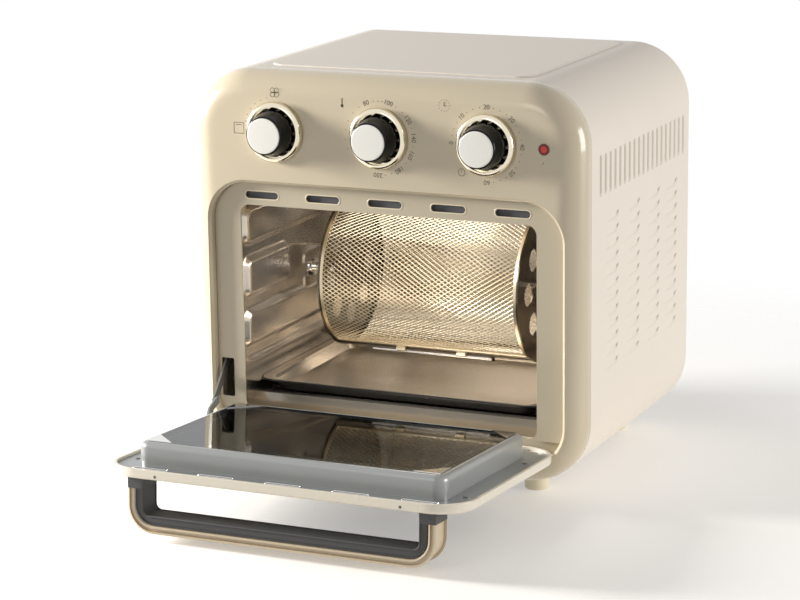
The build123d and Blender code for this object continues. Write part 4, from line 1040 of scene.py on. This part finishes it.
@dataclass
class Tray:
    """Baking tray: an enamelled pan with a bright inside that runs over its rim."""

    middle: float = 113.5
    outside: tuple[tuple[float, float, float, float], ...] = (
        (240.6, 165.6, 14.2, 57.9), (241.6, 166.6, 14.7, 58.3), (257.4, 172.0, 14.5, 58.4),
        (258.2, 172.8, 14.9, 58.2), (258.4, 173.0, 15.0, 57.8), (258.2, 172.8, 14.9, 57.4),
        (257.6, 172.2, 14.6, 57.2), (242.4, 167.4, 15.0, 57.2), (240.8, 165.8, 14.6, 56.2),
        (233.5, 158.5, 13.6, 50.0), (229.5, 154.5, 12.6, 48.3), (224.0, 149.0, 11.0, 47.8),
        (224.0, 149.0, 10.0, 48.6), (228.5, 153.5, 12.0, 49.3), (231.5, 156.5, 12.6, 50.6),
        (239.6, 164.6, 14.0, 56.8))
    inside: tuple[tuple[float, float, float, float], ...] = (
        (223.6, 148.6, 10.0, 47.95), (240.2, 165.2, 14.2, 57.3), (241.6, 166.6, 14.7, 58.2),
        (254.6, 170.6, 13.9, 58.3), (255.2, 171.2, 14.0, 58.45), (254.6, 170.6, 13.9, 58.55),
        (241.0, 166.0, 14.5, 58.5), (239.2, 164.4, 14.0, 57.9), (238.2, 163.4, 13.6, 56.6),
        (230.6, 155.6, 12.0, 50.6), (227.6, 152.6, 11.0, 49.5), (222.0, 147.0, 9.0, 48.9),
        (142.0, 67.0, 6.0, 48.9))

    def loops(self, rows: Sequence[tuple[float, float, float, float]]) -> np.ndarray:
        """Level rounded rectangles.

        Args:
            rows: Width, length, corner radius and height of each loop.

        Returns:
            Row-frame points, loops by points by three.
        """
        data = np.array(rows, float)
        flat = rounded_loops(data[:, 0], data[:, 1], data[:, 2], 8, 4)
        return place(flat[..., 0], flat[..., 1] + self.middle, data[:, 3][:, None])

    def build(self) -> None:
        """Make the outside with the rim, and the lining."""
        pan = Shell().grid(self.loops(self.outside), wrap_rows=True)
        pan.make("tray_pan", "tray", Palette.TRAY, ["baking_tray"])
        lining = Shell().grid(self.loops(self.inside), cap_first=True, cap_last=True)
        lining.make("tray_lining", "tray", Palette.TRAY_INSIDE)


@dataclass
class Marks:
    """Printed numbers and small signs round the knobs."""

    height: float = 273.1
    ring: float = 29.6
    depth: float = -0.06
    letter_size: float = 5.4

    def text(self, words: str, x: float, height: float, size: float, turn: float) -> tuple[np.ndarray, list]:
        """Flat letters, turned about their middle.

        Args:
            words: The text.
            x: Middle of the text.
            height: Height of its middle.
            size: Letter size in millimetres.
            turn: Clockwise turn in radians.

        Returns:
            Points of the letters, and the faces between them.
        """
        curve = bpy.data.curves.new("words", "FONT")
        curve.body = words
        curve.size = size
        curve.align_x = "CENTER"
        curve.align_y = "CENTER"
        curve.resolution_u = 3
        holder = bpy.data.objects.new("words", curve)
        bpy.context.scene.collection.objects.link(holder)
        graph = bpy.context.evaluated_depsgraph_get()
        mesh = bpy.data.meshes.new_from_object(holder.evaluated_get(graph))
        flat = np.zeros(len(mesh.vertices) * 3)
        mesh.vertices.foreach_get("co", flat)
        flat = flat.reshape(-1, 3)
        faces = [list(p.vertices) for p in mesh.polygons]
        bpy.data.objects.remove(holder)
        bpy.data.curves.remove(curve)
        bpy.data.meshes.remove(mesh)
        right = flat[:, 0] * math.cos(turn) + flat[:, 1] * math.sin(turn)
        up = flat[:, 1] * math.cos(turn) - flat[:, 0] * math.sin(turn)
        return place(x + right, np.full(len(flat), self.depth), height + up), faces

    def circle(self, x: float, height: float, radius: float, wide: float, sides: int = 14) -> list[Stroke]:
        """Strokes of a small circle.

        Args:
            x: Middle of the circle.
            height: Height of its middle.
            radius: Its radius.
            wide: Width of the line.
            sides: Number of strokes.

        Returns:
            The strokes.
        """
        angle = np.linspace(0, 2 * math.pi, sides + 1)
        u, v = x + radius * np.cos(angle), height + radius * np.sin(angle)
        return [(u[i], v[i], u[i + 1], v[i + 1], wide) for i in range(sides)]

    def dots(self, x: float, angles: Iterable[float], radius: float) -> list[Stroke]:
        """Short square dots on a circle round a knob.

        Args:
            x: Middle of the knob.
            angles: Angles clockwise from the top in degrees.
            radius: Radius of the circle.

        Returns:
            The strokes.
        """
        turns = [math.radians(degrees) for degrees in angles]
        spots = [(x + radius * math.sin(turn), self.height + radius * math.cos(turn)) for turn in turns]
        return [(u - 0.35, v, u + 0.35, v, 0.7) for u, v in spots]

    def build(self) -> None:
        """Make one piece of all the print on the panel."""
        labels = [(str(value), 0.0, degrees) for value, degrees in zip(
            range(80, 201, 20), (-22.0, 16.0, 57.0, 86.0, 114.0, 145.0, 183.0))]
        labels += [(str(value), 91.5, -90.0 + 45.0 * number) for number, value in enumerate(range(0, 61, 10))]
        points: list[np.ndarray] = []
        faces: list[list[int]] = []
        count = 0
        for words, x, degrees in labels:
            turn = math.radians(degrees)
            right, up = self.ring * math.sin(turn), self.ring * math.cos(turn)
            placed, shape = self.text(words, x + right, self.height + up, self.letter_size, turn)
            points.append(placed)
            faces += [[i + count for i in face] for face in shape]
            count += len(placed)
        for x0, h0, x1, h1, wide in self.strokes():
            along = np.array([x1 - x0, h1 - h0])
            side = np.array([-along[1], along[0]]) / max(np.hypot(*along), 1e-6) * wide / 2
            quad = np.array([[x0, h0] - side, [x1, h1] - side, [x1, h1] + side, [x0, h0] + side])
            points.append(place(quad[:, 0], np.full(4, self.depth), quad[:, 1]))
            faces.append([count, count + 1, count + 2, count + 3])
            count += 4
        mesh = bpy.data.meshes.new("panel_marks")
        mesh.from_pydata(np.concatenate(points).tolist(), [], faces)
        piece = bpy.data.objects.new("panel_marks", mesh)
        bpy.context.scene.collection.objects.link(piece)
        dress(piece, "cabinet", Palette.PRINT)

    def strokes(self) -> list[Stroke]:
        """Lines of the signs and dots: an oven, a fan, a thermometer, a clock and a hold sign.

        Returns:
            Start, end and width of each stroke.
        """
        made: list[Stroke] = []
        x, h = -124.5, 274.6
        box = np.array([[-4.4, -4.4], [4.4, -4.4], [4.4, 4.4], [-4.4, 4.4], [-4.4, -4.4]])
        made += [(x + box[i, 0], h + box[i, 1], x + box[i + 1, 0], h + box[i + 1, 1], 0.5) for i in range(4)]
        made += [(x - 2.8, h + 2.6, x + 2.8, h + 2.6, 0.5)]
        x, h = -91.8, 305.0
        for turn in np.arange(4) * math.pi / 2 + math.pi / 4:
            made += self.circle(x + 2.5 * math.cos(turn), h + 2.5 * math.sin(turn), 2.0, 0.4, 10)
        made += self.circle(x, h, 0.7, 0.5, 8)
        x, h = -32.0, 299.4
        made += [(x, h - 1.5, x, h + 4.0, 0.9)] + self.circle(x, h - 2.0, 0.8, 1.4, 8)
        x, h = 55.9, 302.2
        made += self.dots_round(x, h, 4.6, 12)
        made += [(x, h - 0.4, x, h + 3.0, 0.6), (x - 0.2, h - 0.2, x + 2.0, h - 0.2, 0.6)]
        x, h = 70.4, 250.2
        made += self.circle(x, h, 2.9, 0.45) + [(x, h, x, h + 1.8, 0.4)]
        x, h = 138.4, 261.2
        made += [(x - 0.6, h - 0.8, x + 0.5, h + 0.9, 0.5)]
        made += self.dots(-91.5, range(-75, -10, 12), self.ring - 1.5)
        between = (-110, -95, -80, -65, -50, -36, -9, -2, 5, 30, 43, 71, 100, 129, 160, 171)
        made += self.dots(0.0, between, self.ring)
        made += self.dots(91.5, [-90.0 + 11.25 * n for n in range(25) if n % 4], self.ring)
        return made

    def dots_round(self, x: float, height: float, radius: float, count: int) -> list[Stroke]:
        """Dots evenly round a place.

        Args:
            x: Middle of the circle.
            height: Height of its middle.
            radius: Its radius.
            count: Number of dots.

        Returns:
            The strokes.
        """
        angle = np.arange(count) * 2 * math.pi / count
        u, v = x + radius * np.cos(angle), height + radius * np.sin(angle)
        return [(u[i] - 0.3, v[i], u[i] + 0.3, v[i], 0.6) for i in range(count)]


@dataclass(frozen=True)
class Lamp:
    """One soft square lamp: place, aim and size in metres, power in watts, colour."""

    name: str
    where: tuple[float, float, float]
    aim: tuple[float, float, float]
    size: float
    power: float
    colour: tuple[float, float, float]

    def build(self) -> None:
        """Add the lamp to the scene and turn it to its aim."""
        data = bpy.data.lights.new(self.name, "AREA")
        data.size = self.size
        data.energy = self.power
        data.color = self.colour
        lamp = bpy.data.objects.new(self.name, data)
        lamp.location = self.where
        heading = Vector(self.aim) - Vector(self.where)
        lamp.rotation_euler = heading.to_track_quat("-Z", "Y").to_euler()
        bpy.context.scene.collection.objects.link(lamp)


@dataclass
class Studio:
    """Floor, light and the camera at the viewing angle of the photograph."""

    eye: tuple[float, float, float] = (870.276, -1910.422, 632.053)
    yaw: float = 24.0894
    pitch: float = -13.1481
    roll: float = -0.7461
    focal: float = 2689.996
    lamps: tuple[Lamp, ...] = (
        Lamp("key", (-1.42, -0.38, 0.54), (0, 0, 0.2), 0.4, 45.0, (1.0, 0.98, 0.95)),
        Lamp("side", (2.6, 0.5, 0.5), (0, 0.1, 0.15), 1.2, 38.0, (1.0, 0.98, 0.96)),
        Lamp("front", (-0.2, -1.6, 0.8), (0, 0.1, 0.12), 0.5, 2.0, (1.0, 0.96, 0.9)),
        Lamp("cavity_glow", (0.0, 0.02, 0.213), (0, 0.07, 0.06), 0.14, 0.38, (1.0, 0.97, 0.93)))

    def camera(self) -> None:
        """Set the camera from its place, its three angles and its focal length in pixels."""
        yaw, pitch, roll = (math.radians(a) for a in (self.yaw, self.pitch, self.roll))
        ahead = np.array([-math.sin(yaw) * math.cos(pitch), math.cos(yaw) * math.cos(pitch), math.sin(pitch)])
        level = np.array([math.cos(yaw), math.sin(yaw), 0.0])
        upright = np.cross(level, ahead)
        right = math.cos(roll) * level + math.sin(roll) * upright
        up = -math.sin(roll) * level + math.cos(roll) * upright
        data = bpy.data.cameras.new("photo_camera")
        data.sensor_width = 36.0
        data.lens = self.focal / 800 * 36.0
        data.clip_end = 100.0
        view = bpy.data.objects.new("photo_camera", data)
        where = place(*(np.array(v) for v in self.eye))
        basis = np.eye(4)
        basis[:3, 0], basis[:3, 1], basis[:3, 2], basis[:3, 3] = right, up, -ahead, where
        view.matrix_world = Matrix(basis.tolist())
        bpy.context.scene.collection.objects.link(view)
        bpy.context.scene.camera = view

    def floor(self) -> None:
        """Make the white floor, which keeps the shadow of the oven and fades out far from it.

        The fade is the distance from the oven in Object coordinates, mapped from opaque to
        clear, so that the white ground of the world takes over.
        """
        mesh = bpy.data.meshes.new("floor")
        size = 12.0
        corners = [(-size, -size, 0), (size, -size, 0), (size, size, 0), (-size, size, 0)]
        mesh.from_pydata(corners, [], [(0, 1, 2, 3)])
        ground = bpy.data.objects.new("floor", mesh)
        bpy.context.scene.collection.objects.link(ground)
        material = bpy.data.materials.new("white_floor")
        material.use_nodes = True
        nodes, links = material.node_tree.nodes, material.node_tree.links
        shader = nodes["Principled BSDF"]
        shader.inputs["Base Color"].default_value = (0.84, 0.82, 0.79, 1)
        shader.inputs["Roughness"].default_value = 0.5
        shader.inputs["Specular IOR Level"].default_value = 0.2
        shader.inputs["Emission Color"].default_value = (1.0, 1.0, 1.0, 1)
        shader.inputs["Emission Strength"].default_value = 0.27
        where = nodes.new("ShaderNodeTexCoord")
        far = nodes.new("ShaderNodeVectorMath")
        far.operation = "LENGTH"
        fade = nodes.new("ShaderNodeMapRange")
        fade.inputs["From Min"].default_value = 0.34
        fade.inputs["From Max"].default_value = 0.8
        clear = nodes.new("ShaderNodeBsdfTransparent")
        mix = nodes.new("ShaderNodeMixShader")
        links.new(where.outputs["Object"], far.inputs[0])
        links.new(far.outputs["Value"], fade.inputs["Value"])
        links.new(fade.outputs["Result"], mix.inputs["Fac"])
        links.new(shader.outputs["BSDF"], mix.inputs[1])
        links.new(clear.outputs["BSDF"], mix.inputs[2])
        links.new(mix.outputs["Shader"], nodes["Material Output"].inputs["Surface"])
        mesh.materials.append(material)

    def world(self) -> None:
        """Light everything softly and show a white ground to the camera, metal and glass."""
        world = bpy.data.worlds.new("studio")
        bpy.context.scene.world = world
        world.use_nodes = True
        nodes, links = world.node_tree.nodes, world.node_tree.links
        output = nodes["World Output"]
        soft = nodes["Background"]
        soft.inputs["Color"].default_value = (1.0, 0.985, 0.96, 1)
        soft.inputs["Strength"].default_value = 0.3
        white = nodes.new("ShaderNodeBackground")
        white.inputs["Color"].default_value = (1.0, 1.0, 1.0, 1)
        white.inputs["Strength"].default_value = 1.0
        path = nodes.new("ShaderNodeLightPath")
        seen = nodes.new("ShaderNodeMath")
        seen.operation = "MAXIMUM"
        clear = nodes.new("ShaderNodeMath")
        clear.operation = "MAXIMUM"
        mix = nodes.new("ShaderNodeMixShader")
        links.new(path.outputs["Is Camera Ray"], seen.inputs[0])
        links.new(path.outputs["Is Glossy Ray"], seen.inputs[1])
        links.new(seen.outputs[0], clear.inputs[0])
        links.new(path.outputs["Is Transmission Ray"], clear.inputs[1])
        links.new(clear.outputs[0], mix.inputs["Fac"])
        links.new(soft.outputs[0], mix.inputs[1])
        links.new(white.outputs[0], mix.inputs[2])
        links.new(mix.outputs[0], output.inputs["Surface"])

    def build(self) -> None:
        """Set the whole studio."""
        scene = bpy.context.scene
        scene.view_settings.view_transform = "Standard"
        self.camera()
        self.floor()
        self.world()
        for lamp in self.lamps:
            lamp.build()


SOLID_FINISHES: dict[str, Palette] = {
    "face_frame": Palette.RECESS, "cavity_left": Palette.CAVITY, "cavity_right": Palette.CAVITY,
    "cavity_back": Palette.CAVITY, "cavity_top": Palette.CAVITY, "cavity_floor": Palette.CAVITY,
    "base_plate": Palette.ZINC, "back_panel": Palette.CASE, "cord_gland": Palette.BLACK,
    "case_screws": Palette.CHROME, "function_switch": Palette.MOTOR, "thermostat": Palette.MOTOR,
    "timer_clockwork": Palette.MOTOR, "indicator_lens": Palette.LENS, "indicator_bezel": Palette.BEZEL,
    "fan_housing": Palette.ZINC, "fan_guard": Palette.CAVITY, "fan_motor": Palette.MOTOR,
    "upper_heater": Palette.HEATER, "lower_heater_front": Palette.HEATER, "lower_heater_rear": Palette.HEATER,
    "drum_motor": Palette.MOTOR, "bearing_bracket": Palette.CAVITY, "door_outer_glass": Palette.GLASS,
    "door_liner": Palette.LINER, "door_inner_glass": Palette.GLASS, "glass_clips": Palette.CHROME,
    "door_hinge_pins": Palette.CHROME, "check_link": Palette.DARK,
    "bearing_bush": Palette.CHROME, "drum_hinge_pin": Palette.CHROME, "drum_disc_left": Palette.DISC,
    "drum_disc_right": Palette.DISC, "drum_axle": Palette.CHROME, "drive_tang": Palette.CHROME,
    "drive_coupler": Palette.CHROME, "convection_fan": Palette.ALUMINIUM, "function_shaft": Palette.CHROME,
    "temperature_shaft": Palette.CHROME, "timer_shaft": Palette.CHROME,
}


def finish_solids(nodes: dict[str, bpy.types.Object]) -> None:
    """Give every solid that stays in view its finish.

    Args:
        nodes: The solid nodes by name.
    """
    for name, node in nodes.items():
        finish = SOLID_FINISHES.get(name, Palette.COVER)
        node.data.materials.clear()
        node.data.materials.append(finish.value.material())
        LOG.info("solid %s: %s", name, finish.value.name)


def main() -> None:
    """Build the oven round its solids and set the studio."""
    logging.basicConfig(level=logging.INFO, format="%(name)s: %(message)s")
    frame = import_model()
    finish_solids(frame["nodes"])
    Case().build()
    Cavity().build()
    for name, x in (("function", -91.5), ("temperature", 0.0), ("timer", 91.5)):
        Knob(name, x).build()
    Door().build()
    Drum().build()
    Tray().build()
    Marks().build()
    Studio().build()
    bpy.context.view_layer.update()


if __name__ == "__main__":
    main()
